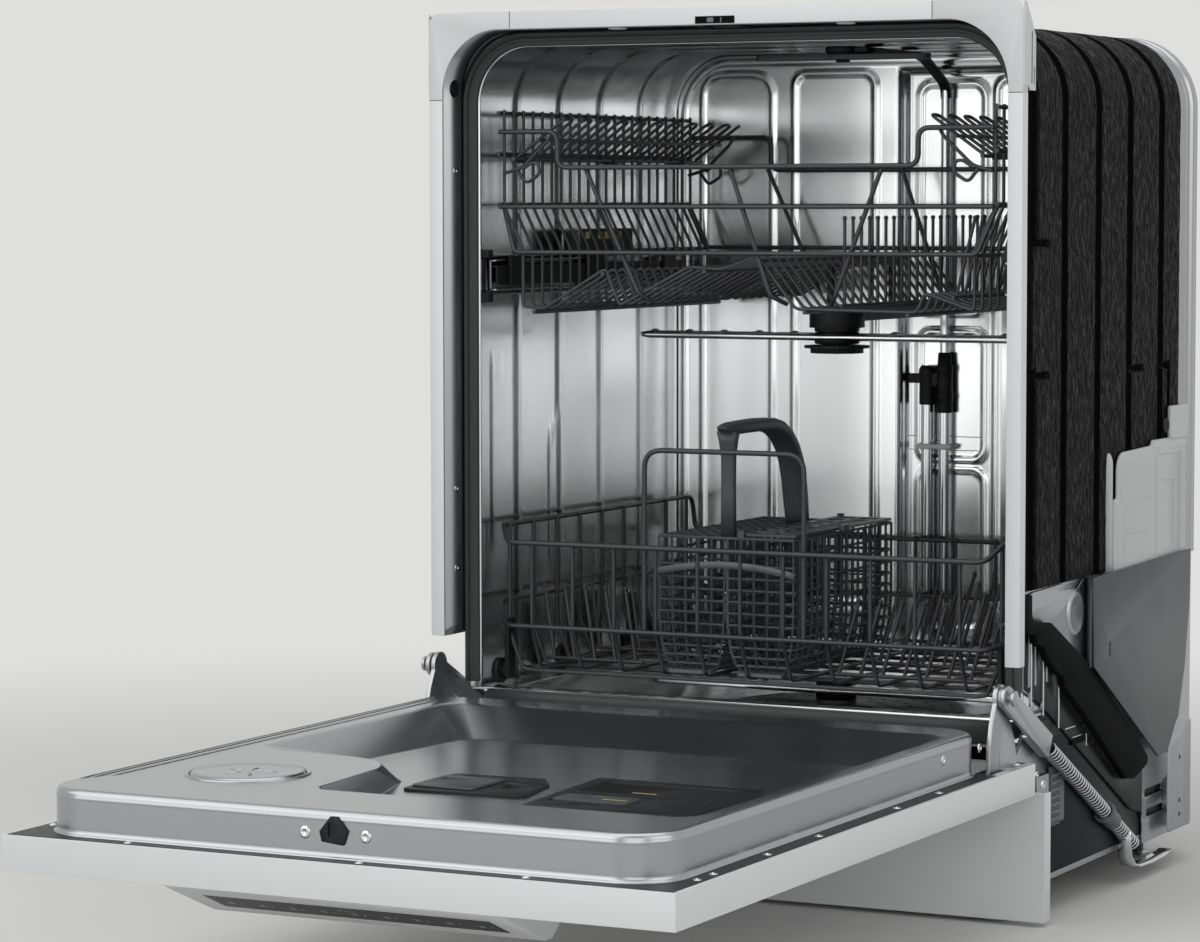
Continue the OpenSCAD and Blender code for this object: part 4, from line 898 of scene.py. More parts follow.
# %% [markdown]
# ### Upper rack
# Twenty-two thin wires run down one wall, over the wavy floor that holds bowls at a slant, and up the
# other wall. Thicker rims close the ends, struts cross them in a V, and two rows of tines stand on
# rails along the machine. Each tine ends in a small ball of nylon, where the powder drips.

# %% Upper rack wires
rack_y = [60 + 19.5 * i for i in range(22)]
wave = [(-208, 553), (-142, 592), (-127, 557), (-55, 594), (-22, 592), (16, 604), (54, 556), (174, 554),
        (182, 572)]
wall = [(250, 742), (250, 650), (230, 610), (230, 556)]
cross = [[(x, y, z) for x, z in [(-x, z) for x, z in wall] + wave + wall[::-1]] for y in rack_y]
wires("upper_rack_cross_wires", cross, 3.2, 5.0, stands_for=["upper_rack_basket"])
lengthwise = [[(x, 57, z), (x, 471, z)] for x, z in
              ((-217, 550.2), (-144, 587), (-38, 590.2), (16, 600.4), (64, 553), (166, 551.4))]
lengthwise += [[(s * x, 54, z), (s * x, 474, z)] for s in (-1, 1) for x, z in
               ((253, 739), (253, 700), (253, 652), (233, 606))]
wires("upper_rack_long_wires", lengthwise, 4.0, 0)
rims = []
for y in (52, 476):
    drop = -189 if y < 100 else -160
    rims.append([(-251, y, 721), (drop, y, 721), (drop, y, 687), (178, y, 687), (178, y, 721), (251, y, 721)])
wires("upper_rack_rims", rims, 5.0, 11.0)
bars = []
for y, s in ((52, 1), (476, -1)):
    bars.append([(-251, y, 650), (251, y, 650)])
    bars.append([(-251, y + s * 9, 650), (-235, y, 607), (235, y, 607), (251, y + s * 9, 650)])
    for a, b in ((-162, -105), (-12, 30), (142, 95)):
        end = b + math.copysign(10, b - a)
        bars.append([(a, y + s * 4, 688), (b, y + s * 4, 568), (end, y + s * 20, 560)])
wires("upper_rack_bars", bars, 4.4, 5.0)
tines, tips = [], []
for x, z, lean, tall in ((96, 559.3, 0, 80), (206, 568, 18, 72)):
    for i in range(20):
        y = 76 + 19.5 * i
        tines.append([(x, y, z), (x + lean, y, z + tall)])
        tips.append((x + lean, y, z + tall))
    tines.append([(x, 68, z), (x, 454, z)])
wires("upper_rack_tines", tines, 3.2, 0)
beads_at("upper_rack_tine_tips", tips, 2.3, "upper_rack")
print("upper rack wires:", len(cross) + len(lengthwise) + len(rims) + len(bars) + len(tines))

# %% [markdown]
# The rack hangs on telescopic runners. Along each of its walls runs a dark moulded bar, lofted from a C
# section, with plates that clip it to the wires. Smaller clips above it carry the cup shelves. Plates
# and clips are blocks with rounded edges.

# %% Runner bars and clips
BOX_FACES = [(0, 3, 2, 1), (4, 5, 6, 7), (0, 1, 5, 4), (1, 2, 6, 5), (2, 3, 7, 6), (3, 0, 4, 7)]


def block(name, low, high, body, slot, paint, edge=0.8):
    (x0, x1), (y0, y1), (z0, z1) = (sorted(pair) for pair in zip(low, high))
    corners = [(x, y, z) for z in (z0, z1) for x, y in ((x0, y0), (x1, y0), (x1, y1), (x0, y1))]
    piece = shell(name, corners, BOX_FACES)
    modify(piece, "BEVEL", width=edge / 1000, segments=2, harden_normals=True)
    return keep(set_mesh(piece), body, slot, paint)


c_shape = [(257.6, 576), (263, 576), (263, 578), (259.6, 578), (259.6, 592), (263, 592), (263, 594),
           (257.6, 594)]
for s, side in BOTH:
    bar = loft(f"runner_bar_{side}", [[(s * x, y, z) for x, z in c_shape] for y in (60, 470)], True, True)
    bar.data.shade_flat()
    keep(bar, "upper_rack", *black)
    for i, y in enumerate((96, 264, 430)):
        low, high = (s * 254, y - 15, 574), (s * 257.6, y + 15, 603)
        block(f"runner_plate_{side}_{i}", low, high, "upper_rack", *black)
    for i, y in enumerate((91.4, 267.8, 424.6)):
        low, high = (s * 234.8, y - 4, 692.2), (s * 251.6, y + 4, 698.6)
        block(f"shelf_clip_{side}_{i}", low, high, "upper_rack", *black, 1.2)

# %% [markdown]
# ### Cup shelves
# Each cup shelf is one long wire bent back and forth, so it has a hairpin at every end. It hangs on a
# rail by the wall and folds up about it. The sign s makes the left shelf or the right one.

# %% Cup shelves
def shelf(s, body, node):
    comb = []
    for i in range(10):
        a, b = 62 + 39.2 * i, 62 + 39.2 * i + 19.6
        comb.append([(s * 236.6, a, 697.4), (s * 186, a, 733), (s * 186, b, 733), (s * 236.6, b, 697.4)])
        if i < 9:
            comb.append([(s * 236.6, b, 697.4), (s * 239, b + 2, 695.8), (s * 239, b + 17.6, 695.8),
                         (s * 236.6, b + 19.6, 697.4)])
    comb.append([(s * 236.6, 454, 697.4), (s * 186, 454, 733)])
    wires(f"cup_shelf_comb_{body}", comb, 3.2, 7.5, body, stands_for=[node])
    wires(f"cup_shelf_rails_{body}", [[(s * 238, 56, 695.4), (s * 238, 462, 695.4)],
                                      [(s * 212, 56, 713.4), (s * 212, 462, 713.4)]], 3.6, 0, body)
    for y in (57, 461):
        hook = [(248, 682), (229, 687), (200, 714), (196, 722)]
        curl = [(234, 684), (224.6, 672), (210, 681), (212, 691), (219, 692), (228, 686)]
        clip = [[(s * x, y, z) for x, z in line] for line in (hook, curl)]
        wires(f"shelf_spring_clip_{body}_{y}", clip, 3.4, 5.0, body)


shelf(-1, "left_cup_shelf", "cup_shelf_left")
shelf(1, "right_cup_shelf", "cup_shelf_right")

# %% [markdown]
# ### Lower rack
# The lower rack is the same craft in heavier wire. Its end rims turn the corners and rise to the side
# rims, uprights bend in to the floor, and slanted tines hold the plates. A bail stands at the front.

# %% Lower rack wires
ends = [43.8 * i for i in range(-5, 6)]
sides = [74 + 49 * i for i in range(9)]
heavy, fine = [], []
heavy.append([(-256, 68, 345), (-244, 52, 330), (244, 52, 330), (256, 68, 345)])
heavy.append([(-256, 460, 345), (-255, 484, 344), (-252, 488, 308), (252, 488, 308), (255, 484, 344),
              (256, 460, 345)])
for y, s in ((52, 1), (488, -1)):
    fine.append([(-256, y + s * 16, 254), (-244, y, 250), (244, y, 250), (256, y + s * 16, 254)])
for s in (-1, 1):
    heavy.append([(s * 256, 68, 345), (s * 256, 460, 345)])
    fine.append([(s * 256, 62, 272), (s * 256, 478, 272)])
wires("lower_rack_rims", heavy, 5.0, 9.0, "lower_rack", stands_for=["lower_rack_basket"])
wires("lower_rack_rings", fine, 4.4, 9.0, "lower_rack")
fine = []
for x in ends:
    fine.append([(x, 55.5, 331), (x, 55.5, 250), (x, 73, 211), (x, 84, 209), (x, 456, 209), (x, 467, 211),
                 (x, 484.5, 250), (x, 484.5, 312)])
for y in sides:
    fine.append([(-252.6, y, 346), (-252.6, y, 240), (-239, y, 207), (-230, y, 205.6), (230, y, 205.6),
                 (239, y, 207), (252.6, y, 240), (252.6, y, 346)])
wires("lower_rack_cross_wires", fine, 4.0, 7.0, "lower_rack")
tines, tips = [], []
for y in (116, 214, 312, 410):
    for x0, count, lean in ((-226, 5, -16), (74, 7, 16)):
        tines.append([(x0 - 8, y, 213.2), (x0 + (count - 1) * 22 + 8, y, 213.2)])
        for i in range(count):
            tines.append([(x0 + 22 * i, y, 213), (x0 + 22 * i + lean, y + 10, 282)])
            tips.append((x0 + 22 * i + lean, y + 10, 282))
wires("lower_rack_tines", tines, 3.8, 0, "lower_rack")
beads_at("lower_rack_tine_tips", tips, 2.7, "lower_rack")
bail = [(x, 57.3, z) for x, z in ((-100, 247), (-100, 422), (64, 422), (64, 247))]
wires("lower_rack_bail", [bail], 5.0, 18.0, "lower_rack")
print("lower rack wires:", len(fine) + len(tines) + 10)

# %% [markdown]
# The rack rolls on four pairs of wheels on stub axles. A wheel is a turned shape: a profile of radius
# and width is spun round the axle, with a raised tyre, a dished web and a hub.

# %% Wheels
def spun(name, profile, at, axis, turns=48):
    rows = []
    for c, s in circle(turns):
        row = []
        for along, radius in profile:
            u, v = radius * c, radius * s
            offset = {"x": (along, u, v), "y": (u, along, v), "z": (u, v, along)}[axis]
            row.append(tuple(spot + move for spot, move in zip(at, offset)))
        rows.append(row)
    return loft(name, rows)


tread = [(0, 3.2), (0, 6), (1.4, 6.4), (1.6, 9.8), (0.9, 10.4), (1, 11.8), (1.8, 12.4), (6.8, 12.4),
         (7.5, 11.8), (7.5, 10.2), (6.2, 9.6), (6, 5.8), (7.5, 5.2), (7.5, 3.2)]
stub = [(0, 0.01), (0, 6), (1.2, 6.6), (3.4, 6.6), (4, 3), (11.4, 3), (11.8, 2.4), (11.8, 0.01)]
for i, y in enumerate((74, 205, 336, 467), 1):
    for s, side in BOTH:
        wheel = spun(f"wheel_{i}_{side}", [(s * a, r) for a, r in tread], (s * 259.5, y, 203.7), "x")
        keep(wheel, f"wheel_pair_{i}", *black, [f"wheels_{i}"])
        axle = spun(f"axle_{i}_{side}", [(s * a, r) for a, r in stub], (s * 255.2, y, 203.7), "x")
        keep(axle, "lower_rack", *black)
        low, high = (s * 250.4, y - 7, 197), (s * 255.8, y + 7, 256)
        block(f"axle_bracket_{i}_{side}", low, high, "lower_rack", *black, 1.5)

# %% [markdown]
# ## Base and tank details
# The baffle over the linkage is a black moulding with a stepped lower edge and a lip that curls up. The
# tank behind it is blow moulded, so all its edges are large and round and raised channels run over it.
# Both are outlines in the side plane, pressed up a few millimetres towards the viewer.

# %% Side mouldings
def side_plate(name, corners, radii, x0, rise, slot, paint, stands_for=()):
    rows = [[(x0 + up, y, z) for y, z in outline(inset(corners, by), [max(r - by, 0.5) for r in radii], 7)]
            for by, up in rise]
    return keep(pressing(name, rows, ()), "cabinet", slot, paint, stands_for)


baffle = [(27, 304), (27, 281), (36, 267), (53, 268), (57, 259), (76, 253), (88, 241), (106, 230),
          (127, 221), (131, 212), (198, 172), (231, 150), (303, 104), (326, 101), (374, 113), (204, 223),
          (95, 274), (53, 277), (46, 286), (46, 304)]
side_plate("side_baffle_moulded", baffle, [2, 8, 4, 3, 3, 3, 3, 3, 3, 3, 8, 8, 6, 8, 6, 8, 8, 6, 6, 2], 286,
           [(0, 0), (0, 5.4), (0.5, 6.6), (1.6, 7)], *matt_black, ["side_baffle"])
tank = [(267, 232), (267, 373), (276, 375), (276, 417), (374, 419), (377, 424), (480, 424), (480, 232)]
belly = [(3, 0), (0.8, 0.6), (0, 1.6), (0.6, 2.8), (2.2, 3.6), (5, 3.8), (6, 4.3), (7.4, 5.0)]
side_plate("water_tank_body", tank, [4, 1.5, 1.5, 18, 2, 2, 5, 4], 287.4, belly, *milky, ["water_tank"])
channels = [[(292, 250), (292, 366)], [(292, 366), (372, 372)], [(392, 410), (456, 410), (456, 300)],
            [(384, 408), (384, 262)], [(404, 384), (436, 384), (436, 320)], [(300, 340), (360, 340)]]
channels = [[(292, y, z) for y, z in line] for line in channels]
wires("water_tank_channels", channels, 2.6, 4.0, "cabinet", *milky)
post = [(232, 0.01), (232, 5.6), (408, 5.6), (413, 5), (417, 3.2), (419, 0.01)]
keep(spun("water_tank_tube", post, (285.6, 260, 0), "z", 28), "cabinet", *milky)
block("water_tank_cap", (288, 426, 422), (292.4, 480, 455), "cabinet", *milky, 1.8)
collar = [(0, 7.4), (1.6, 7.4), (2.4, 6.4), (2.4, 5.2), (1.4, 4.6), (1.4, 0.01)]
keep(spun("water_tank_ring", collar, (288, 420, 436), "x", 32), "cabinet", *black)

# %% [markdown]
# ### The side of the base
# The base's side is folded sheet with holes, lines and small plates on it. The plates are outlines in
# the side plane again, and the rest are thin blocks, so one list holds their corners and edge radii.

# %% Plates of the base
front = [(48.5, 301), (70, 303.6), (144, 304.8), (152, 303), (161, 298.4), (184, 297), (191, 301),
         (198, 304.8), (206, 305), (206, 222), (150, 255), (118, 270), (77, 272), (50, 284)]
side_plate("base_front_plate", front, [2, 3, 6, 8, 8, 8, 8, 6, 2, 4, 4, 4, 4, 2], 284.1,
           [(0, 0), (0, 0.5), (0.4, 0.9)], *zinc)
dish = [(-0.3, 22), (0.5, 21.4), (1.8, 20), (2.3, 18.4), (2, 16.8), (1.2, 14), (0.6, 10), (0.3, 5),
        (0.2, 0.01)]
keep(spun("base_side_dish", dish, (285, 177, 274.5), "x", 48), "cabinet", *zinc)
slant = [(284.9, 205.6), (293.8, 195.2), (294.6, 195.8), (285.8, 206.2)]
flank = [[(x, y, z) for x, y in slant] for z in (222, 223, 304.6, 305.6)]
keep(loft("side_shield_flank", flank, True, True), "cabinet", "steel_zinc", grey_plastic)
for k, (y, low, high) in enumerate(((65, 200, 262), (95.7, 188, 250), (136.4, 172, 224))):
    block(f"base_side_rib_{k}", (282.4, y - 1.1, low), (285.4, y + 1.1, high), "cabinet", *zinc_bright, 0.7)
# The dark sheet under the baffle is painted shade: its dark steel stands for the shade beneath the baffle.
coated = [(51.4, 282), (51.4, 217.5), (92, 200.4), (343, 68.8), (373, 61.4), (376.5, 50), (376.5, 108),
          (310, 108), (200, 180), (100, 240)]
side_plate("base_side_painted_shade", coated, [1] * 10, 280.4, [(0, 0), (0, 2.2), (0.2, 2.4)], *zinc_dark)
# The inner sheet's dark steel is painted shade, for the shaded inside of the base behind the linkage.
inner = [(124, 37), (500, 37), (500, 187), (60, 187), (74, 184), (124, 163)]
side_plate("base_inner_sheet", inner, [3] * 6, 279.1, [(0, 0), (0, 0.6), (0.3, 0.9)], *zinc_dark)
rear = [(414, 36), (482, 36), (482, 142), (440, 148), (414, 120)]
side_plate("base_rear_plate", rear, [3, 3, 6, 12, 8], 295.4, [(0, 0), (0, 1.1), (0.4, 1.5)], *zinc)

# %% [markdown]
# Edges of folded sheet catch the light as thin bright lines; here they are thin strips in the bright plated
# finish, a painted highlight on zinc edges. Slots and holes are matt black patches, painted shade for the
# dark inside them. The guide behind the hinge is a grey moulding with seven ribs, and a bent strip holds
# the spring's foot.

# %% Lines, slots and guides of the base
for name, pair, edge, low, high in (
        # Line, rim and end strips: the bright plated finish is a painted highlight on the zinc edges.
        ("base_side_line_top", zinc_bright, 0.5, (280.6, 159, 167.8), (283.6, 222, 169.4)),
        ("base_side_line_low", zinc_bright, 0.4, (280.6, 213, 146.4), (283.6, 262, 147.6)),
        # The slot's matt black is painted shade for the dark inside the slot.
        ("base_side_slot", matt_black, 0.6, (280.2, 178, 151), (283.1, 213, 157.6)),
        ("base_side_slot_rim", zinc_bright, 0.5, (280.2, 178, 157.8), (283.8, 217, 159.2)),
        ("base_side_slot_end", zinc_bright, 0.5, (280.2, 214.4, 147.6), (283.8, 217.2, 159.2)),
        ("base_inner_edge", zinc, 0.8, (279.1, 122, 33), (280.3, 500, 38.5)),
        ("hinge_guide_body", dark_grey, 0.8, (279.9, 122, 82), (281.9, 150, 138)),
        ("hinge_guide_side", mid_grey, 0.6, (279.9, 150, 84), (281.4, 162, 126)),
        ("toe_side_plate", zinc, 0.6, (280.4, 88, 70), (282.2, 119, 133))):
    block(name, low, high, "cabinet", *pair, edge)
for k in range(7):
    z = 87 + 6.8 * k
    block(f"hinge_guide_rib_{k}", (281.8, 124, z), (282.8, 148, z + 3), "cabinet", *mid_grey, 0.4)
dome = [(0, 5.4), (0.9, 5), (1.5, 3.6), (1.2, 1.6), (0.8, 0.01)]
keep(spun("toe_side_screw", dome, (282, 104, 124), "x", 28), "cabinet", *zinc_bright)
# The black discs of the rear holes are painted shade for the dark inside the holes.
for k, z in enumerate((107, 64, 50)):
    hole = spun(f"base_rear_hole_{k}", [(0, 2.6), (0.25, 2.4), (0.25, 0.01)], (296.8, 448, z), "x", 20)
    keep(hole, "cabinet", *black)
bend = [(46, 166), (42.6, 167), (41, 170), (40.6, 182), (41.6, 186.4), (44, 188), (46, 187)]
sill = [[(x, y, z) for y, z in bend] for x in (-262, -200, -100, 0, 100, 200, 262)]
keep(loft("sill_seal", sill, True, True), "cabinet", *rubber)
holder, low_curve = [], [(306, 52), (307, 38), (311, 26), (321, 17.4), (338, 13.8), (374, 12.6)]
for y, z in low_curve + [(412, 13.4), (432, 15.6)]:
    holder.append([(281.4, y, z), (296, y, z), (296, y + 1.2, z + 1.8), (281.4, y + 1.2, z + 1.8)])
keep(loft("spring_foot_bracket", holder, True, True), "cabinet", *zinc_bright)

# %% [markdown]
# ### Small pieces of the opening
# The fixed runners end in black caps inside the frame, plugs close the holes of the return, and the
# strike of the door lock shows in a notch of the top strip. Thin dark seams part the corner covers from
# the strips. Round the liner's foot a dark flange covers the door and stops short of its white edge.

# %% Caps, notch and seams
plug = [(0, 9), (0.6, 9), (1.8, 8), (2.2, 6), (1.6, 4), (1.6, 0.01)]
for s, side in BOTH:
    for part, near, far, low, high in (("", 268, 277, 559, 609), ("_top", 260.4, 268.6, 601.4, 609),
                                       ("_low", 260.4, 268.6, 559, 568.8)):
        block(f"runner_end{part}_{side}", (s * near, 46.8, low), (s * far, 57, high), "cabinet", *black, 1)
    inward = [(-s * a, r) for a, r in plug]
    keep(spun(f"return_plug_{side}", inward, (s * 284, 22, 762), "x", 32), "cabinet", *black)
    for where, low, high in (("top", (s * 212 - 0.3, -0.08, 816.6), (s * 212 + 0.3, 0.4, 831.9)),
                             ("side", (s * 284.6, -0.08, 749.8), (s * 297.9, 0.4, 750.3))):
        block(f"cover_seam_{where}_{side}", low, high, "cabinet", *matt_black, 0.05)
block("runner_latch_box", (-252.4, 221, 604), (-247.4, 330, 628), "upper_rack", *black, 1.2)
for k, y in enumerate((224, 252, 266, 280, 294)):
    block(f"runner_latch_mark_{k}", (-247.5, y, 618), (-247.1, y + 9, 625), "upper_rack", *yellow, 0.1)
# The notch's matt black is painted shade for the dark inside the notch.
block("strike_notch", (-20, -0.3, 816.2), (19.6, 0.4, 823), "cabinet", *matt_black, 0.1)
block("strike_notch_latch", (-8, -0.5, 817.4), (-1.5, -0.1, 821.6), "cabinet", *mid_grey, 0.15)
block("strike_notch_pin", (5.4, -0.5, 816.8), (6.6, -0.1, 821.8), "cabinet", *mid_grey, 0.1)
block("liner_flange", (-294.7, -694, 152.4), (294.7, -46, 153.3), "door", *zinc_dark, 0.3)

# %% [markdown]
# ### Cutlery basket
# The basket is moulded: two bins side by side whose walls are a fine lattice, drawn in a little towards
# the bottom so that they leave the mould. Each bin is lofted as a plain skin of squares, and Blender's
# Wireframe modifier turns every edge of the skin into a bar, which is just what the mould does.

# %% Lattice bins
def ring(x0, x1, y0, y1, z, across, deep):
    row = [(x0 + (x1 - x0) * i / across, y0, z) for i in range(across)]
    row += [(x1, y0 + (y1 - y0) * i / deep, z) for i in range(deep)]
    row += [(x1 - (x1 - x0) * i / across, y1, z) for i in range(across)]
    return row + [(x0, y1 - (y1 - y0) * i / deep, z) for i in range(deep)]


def lattice(piece, bar):
    modify(piece, "WIREFRAME", thickness=bar / 1000, use_even_offset=True, use_boundary=True)
    set_mesh(piece)
    piece.data.shade_flat()
    return keep(piece, "cutlery", *dark_grey)


def net(name, corner, across, up, cells, bar):
    (wide, tall), start = cells, Vector(corner)
    lines = [[start + Vector(across) * (i / wide) + Vector(up) * (j / tall) for i in range(wide + 1)]
             for j in range(tall + 1)]
    return lattice(loft(name, lines), bar)


drop = [(340, 0, 0), (326, 0, 0), (314, 0, 0), (302, 0, 0), (291, 0, 0), (280, 0, 0), (269, 0, 0),
        (258, 0.5, 0), (247, 1.5, 0.5), (237, 3, 1), (228, 5, 2), (220, 8, 4), (214.5, 13, 7)]
for x0, x1, side in ((-94, -26, "left"), (-23, 45, "right")):
    rows = [ring(x0 + a, x1 - a, 77 + b, 311 - b, z, 5, 17) for z, a, b in drop]
    lattice(loft(f"cutlery_bin_{side}", rows, True), 2.7)
    net(f"cutlery_bin_base_{side}", (x0 + 12, 83, 214.5), (x1 - x0 - 24, 0, 0), (0, 222, 0), (3, 13), 2.0)
    for k, y in enumerate((136, 194, 252)):
        net(f"cutlery_divider_{side}_{k}", (x0 + 1, y, 214), (x1 - x0 - 2, 0, 0), (0, 0, 120), (3, 6), 1.8)
basket_middle = -24.5
band = []
for k in range(25):
    x = -95.4 + 141.8 * k / 24
    z = 4 + math.sqrt(314 ** 2 - (x - basket_middle) ** 2)
    band.append([(x, 77.4, z - 6.5), (x, 75, z - 6.5), (x, 74.6, z - 3), (x, 75, z), (x, 77.4, z)])
keep(loft("cutlery_front_band", band, True, True), "cutlery", *mid_grey)
for k, (x0, x1) in enumerate(((-84, -40), (-12, 34))):
    block(f"cutlery_foot_tab_{k}", (x0, 75, 210.6), (x1, 88, 214.2), "cutlery", *mid_grey)
for k, (x0, x1, y0, y1, z) in enumerate(((-95, 46, 76, 78.2, 338.6), (-95, 46, 309.8, 312, 338.6),
                                         (-95, -92.8, 78.2, 309.8, 338.6), (43.8, 46, 78.2, 309.8, 338.6),
                                         (-26, -23, 78.2, 309.8, 336))):
    block(f"cutlery_rim_{k}", (x0, y0, z), (x1, y1, 341), "cutlery", *dark_grey, 0.6)
lug_at = basket_middle + 15.6
for k, y in enumerate((76, 310)):
    low, high = (lug_at - 3.5, y, 338), (lug_at + 3.5, y + 2, 347.5)
    block(f"cutlery_lid_lug_{k}", low, high, "cutlery", *dark_grey, 0.6)
net("cutlery_left_grid", (-93, 80, 340.4), (67, 0, 0), (0, 229, 0), (5, 12), 1.8)
print("basket bins: 2, dividers: 6")

# %% [markdown]
# The grip of the basket is the most sculpted moulding: a thin leg at the front, a bar that starts in a
# pointed nose and a tail that widens as it curves down. It is a sweep whose section changes on the way.

# %% Basket grip
def sweep(name, stations, at, round_steps=5):
    rows = []
    for i, (y, z, half, thick) in enumerate(stations):
        a, b = stations[max(i - 1, 0)], stations[min(i + 1, len(stations) - 1)]
        run = Vector((b[0] - a[0], b[1] - a[1])).normalized()
        up = Vector((-run.y, run.x))
        edge = min(half, thick / 2) * 0.7
        row = []
        for cx, cy, start in ((half - edge, thick / 2 - edge, 0), (-half + edge, thick / 2 - edge, 1),
                              (-half + edge, -thick / 2 + edge, 2), (half - edge, -thick / 2 + edge, 3)):
            for k in range(round_steps):
                angle = math.pi / 2 * (start + k / (round_steps - 1))
                u, v = cx + edge * math.cos(angle), cy + edge * math.sin(angle)
                row.append((at + u, y + up.x * v, z + up.y * v))
        rows.append(row)
    return loft(name, rows, True, True)


leg = [(83, 340.5, 7.5, 7), (83, 380, 7, 7), (83, 415, 7.2, 7.4), (82.5, 430, 9, 9), (82, 440, 11, 12)]
nose = [(64, 444.5, 3, 1.6), (70, 443.5, 6, 4), (80, 442.5, 9.5, 8), (92, 442.6, 11.5, 10.5),
        (115, 443, 12, 11), (145, 443.2, 12, 11.6), (168, 442.4, 12, 12.6), (186, 438.5, 12, 13.6),
        (202, 431, 12, 14.4), (216, 419, 12, 15), (226, 404, 12, 15.4), (232, 388, 12, 15.4),
        (236, 370, 12, 15), (239, 355, 11.6, 14.4), (241.5, 341, 11.4, 14)]
keep(sweep("cutlery_grip_leg", leg, basket_middle), "cutlery", *dark_grey, ["cutlery_basket"])
keep(sweep("cutlery_grip_bar", nose, basket_middle), "cutlery", *dark_grey)

# %% [markdown]
# ## Water parts
# The spray arms are pressed from two steel shells with rolled edges. One is lofted from tip to tip,
# wide at the hub and narrow at the ends, with a low dome over each jet.

# %% Spray arms
hub_y = 280


def blade(name, reach, z0, z1, root, tip):
    rows = []
    for i in range(61):
        t = -1 + 2 * i / 60
        x = reach * t
        near_end = max(0, (abs(x) - (reach - tip)) / tip)
        half = (root + (tip - root) * abs(t) ** 0.8) * math.sqrt(max(1 - near_end ** 2, 0.0004))
        row = []
        for c, s in circle(24, False):
            flat = math.copysign(abs(c) ** 0.55, c)
            tall = math.copysign(abs(s) ** 0.8, s)
            squeeze = 1 - 0.45 * near_end
            row.append((x, hub_y + half * flat, (z0 + z1) / 2 + (z1 - z0) / 2 * tall * squeeze))
        rows.append(row)
    return loft(name, rows, True, True)


def jets(name, z, spots, body, slot, paint):
    crown = [(-0.6, 5.2), (0.5, 4.6), (1.6, 3), (2.2, 1.9), (1.4, 1.3), (1.2, 0.01)]
    for k, x in enumerate(spots):
        dome = spun(f"{name}_{k}", crown, (x, hub_y + math.copysign(3, x), z), "z", 20)
        keep(dome, body, slot, paint)


arm = blade("upper_arm_blade", 214, 519, 526.6, 24, 13)
keep(arm, "upper_arm", *polished, ["upper_spray_arm"])
jets("upper_arm_jet", 526.2, (-196, -158, -120, -82, -44, 60, 98, 136, 174, 204), "upper_arm", *polished)
hub = [(516, 14.2), (516, 21), (517, 22), (526.4, 22), (527.4, 21), (527.4, 14.2)]
keep(spun("upper_arm_hub", hub, (0, hub_y, 0), "z"), "upper_arm", *black)
arm = blade("lower_arm_blade", 200, 173, 182, 26, 15)
hidden = ("steel_satin", bright_steel)
keep(arm, "lower_arm", *hidden, ["lower_spray_arm"])
jets("lower_arm_jet", 181.6, (-180, -146, -110, -74, 66, 104, 140, 174), "lower_arm", *hidden)
hub = [(168, 12.2), (168, 19), (169, 20), (183, 20), (186, 17), (186, 0.01)]
keep(spun("lower_arm_hub", hub, (0, hub_y, 0), "z"), "lower_arm", *black)

# %% [markdown]
# Two bright pipes climb the back wall side by side. A black coupling joins them to the thinner pipe for
# the roof arm, and a grey clip ties them to the wall. A bare outline beside it marks a label's place.

# %% Pipes, coupling and clip
pipe_y, left_pipe, right_pipe = 509, 2, 21
pair = [[(x, pipe_y, 190.4), (x, pipe_y, z)] for x, z in ((left_pipe, 452), (right_pipe, 446))]
wires("supply_pipe_pair", pair, 13, 0, "cabinet", *polished_tube, ["supply_pipes"], 6)
thin = [[(right_pipe, pipe_y, 498), (right_pipe, pipe_y, 776)]]
wires("supply_pipe_upper", thin, 10, 0, "cabinet", *polished_tube, sides=6)
wide_cup = [(438, 6.6), (438, 8.3), (440, 8.5), (452, 8.5), (453, 9), (457, 9), (458, 8.3), (480, 8.2),
            (481, 8.9), (486, 8.9), (488, 7.4), (499, 6.8), (500, 5.4)]
narrow_cup = [(446, 6.6), (446, 8.3), (448, 8.5), (476, 8.4), (478, 8.9), (482, 8.9), (484, 8), (486, 6),
              (486, 0.01)]
for name, x, cup in (("coupling_wide", right_pipe, wide_cup), ("coupling_narrow", left_pipe, narrow_cup)):
    keep(spun(name, cup, (x, pipe_y, 0), "z", 40), "cabinet", *black)
block("coupling_bridge", (2, 504, 464), (21, 514, 480), "cabinet", *black, 2)
block("coupling_lug", (-18, 505, 468), (-4, 511, 478), "cabinet", *black, 1.5)
block("pipe_saddle", (-7, 500.5, 190.4), (30, 517.5, 194), "cabinet", *black, 1.2)
hoop = circle(24, False) + [(1.0, 0.0)]
hoops = [[(x + 8.6 * c, pipe_y + 7.6 * s, z) for c, s in hoop]
         for x in (left_pipe, right_pipe) for z in (401, 405)]
wires("pipe_clip_rings", hoops, 1.8, 0, "cabinet", *light_grey)
block("pipe_clip_plate", (-8, 500.8, 401), (30, 502.6, 405.4), "cabinet", *light_grey, 0.6)
label = [(x, 516.9, z) for x, z in outline([(61, 399), (61, 413), (-44, 413), (-44, 399)], [2] * 4, 4)]
wires("label_outline", [label + [label[0]]], 0.9, 0, "cabinet", *light_grey)

# %% [markdown]
# The roof arm is fed by a flat black duct. It runs back under the roof, slants down to the wall and ends
# on the thin pipe, so it is the same kind of sweep as the grip, with a section that narrows a little.

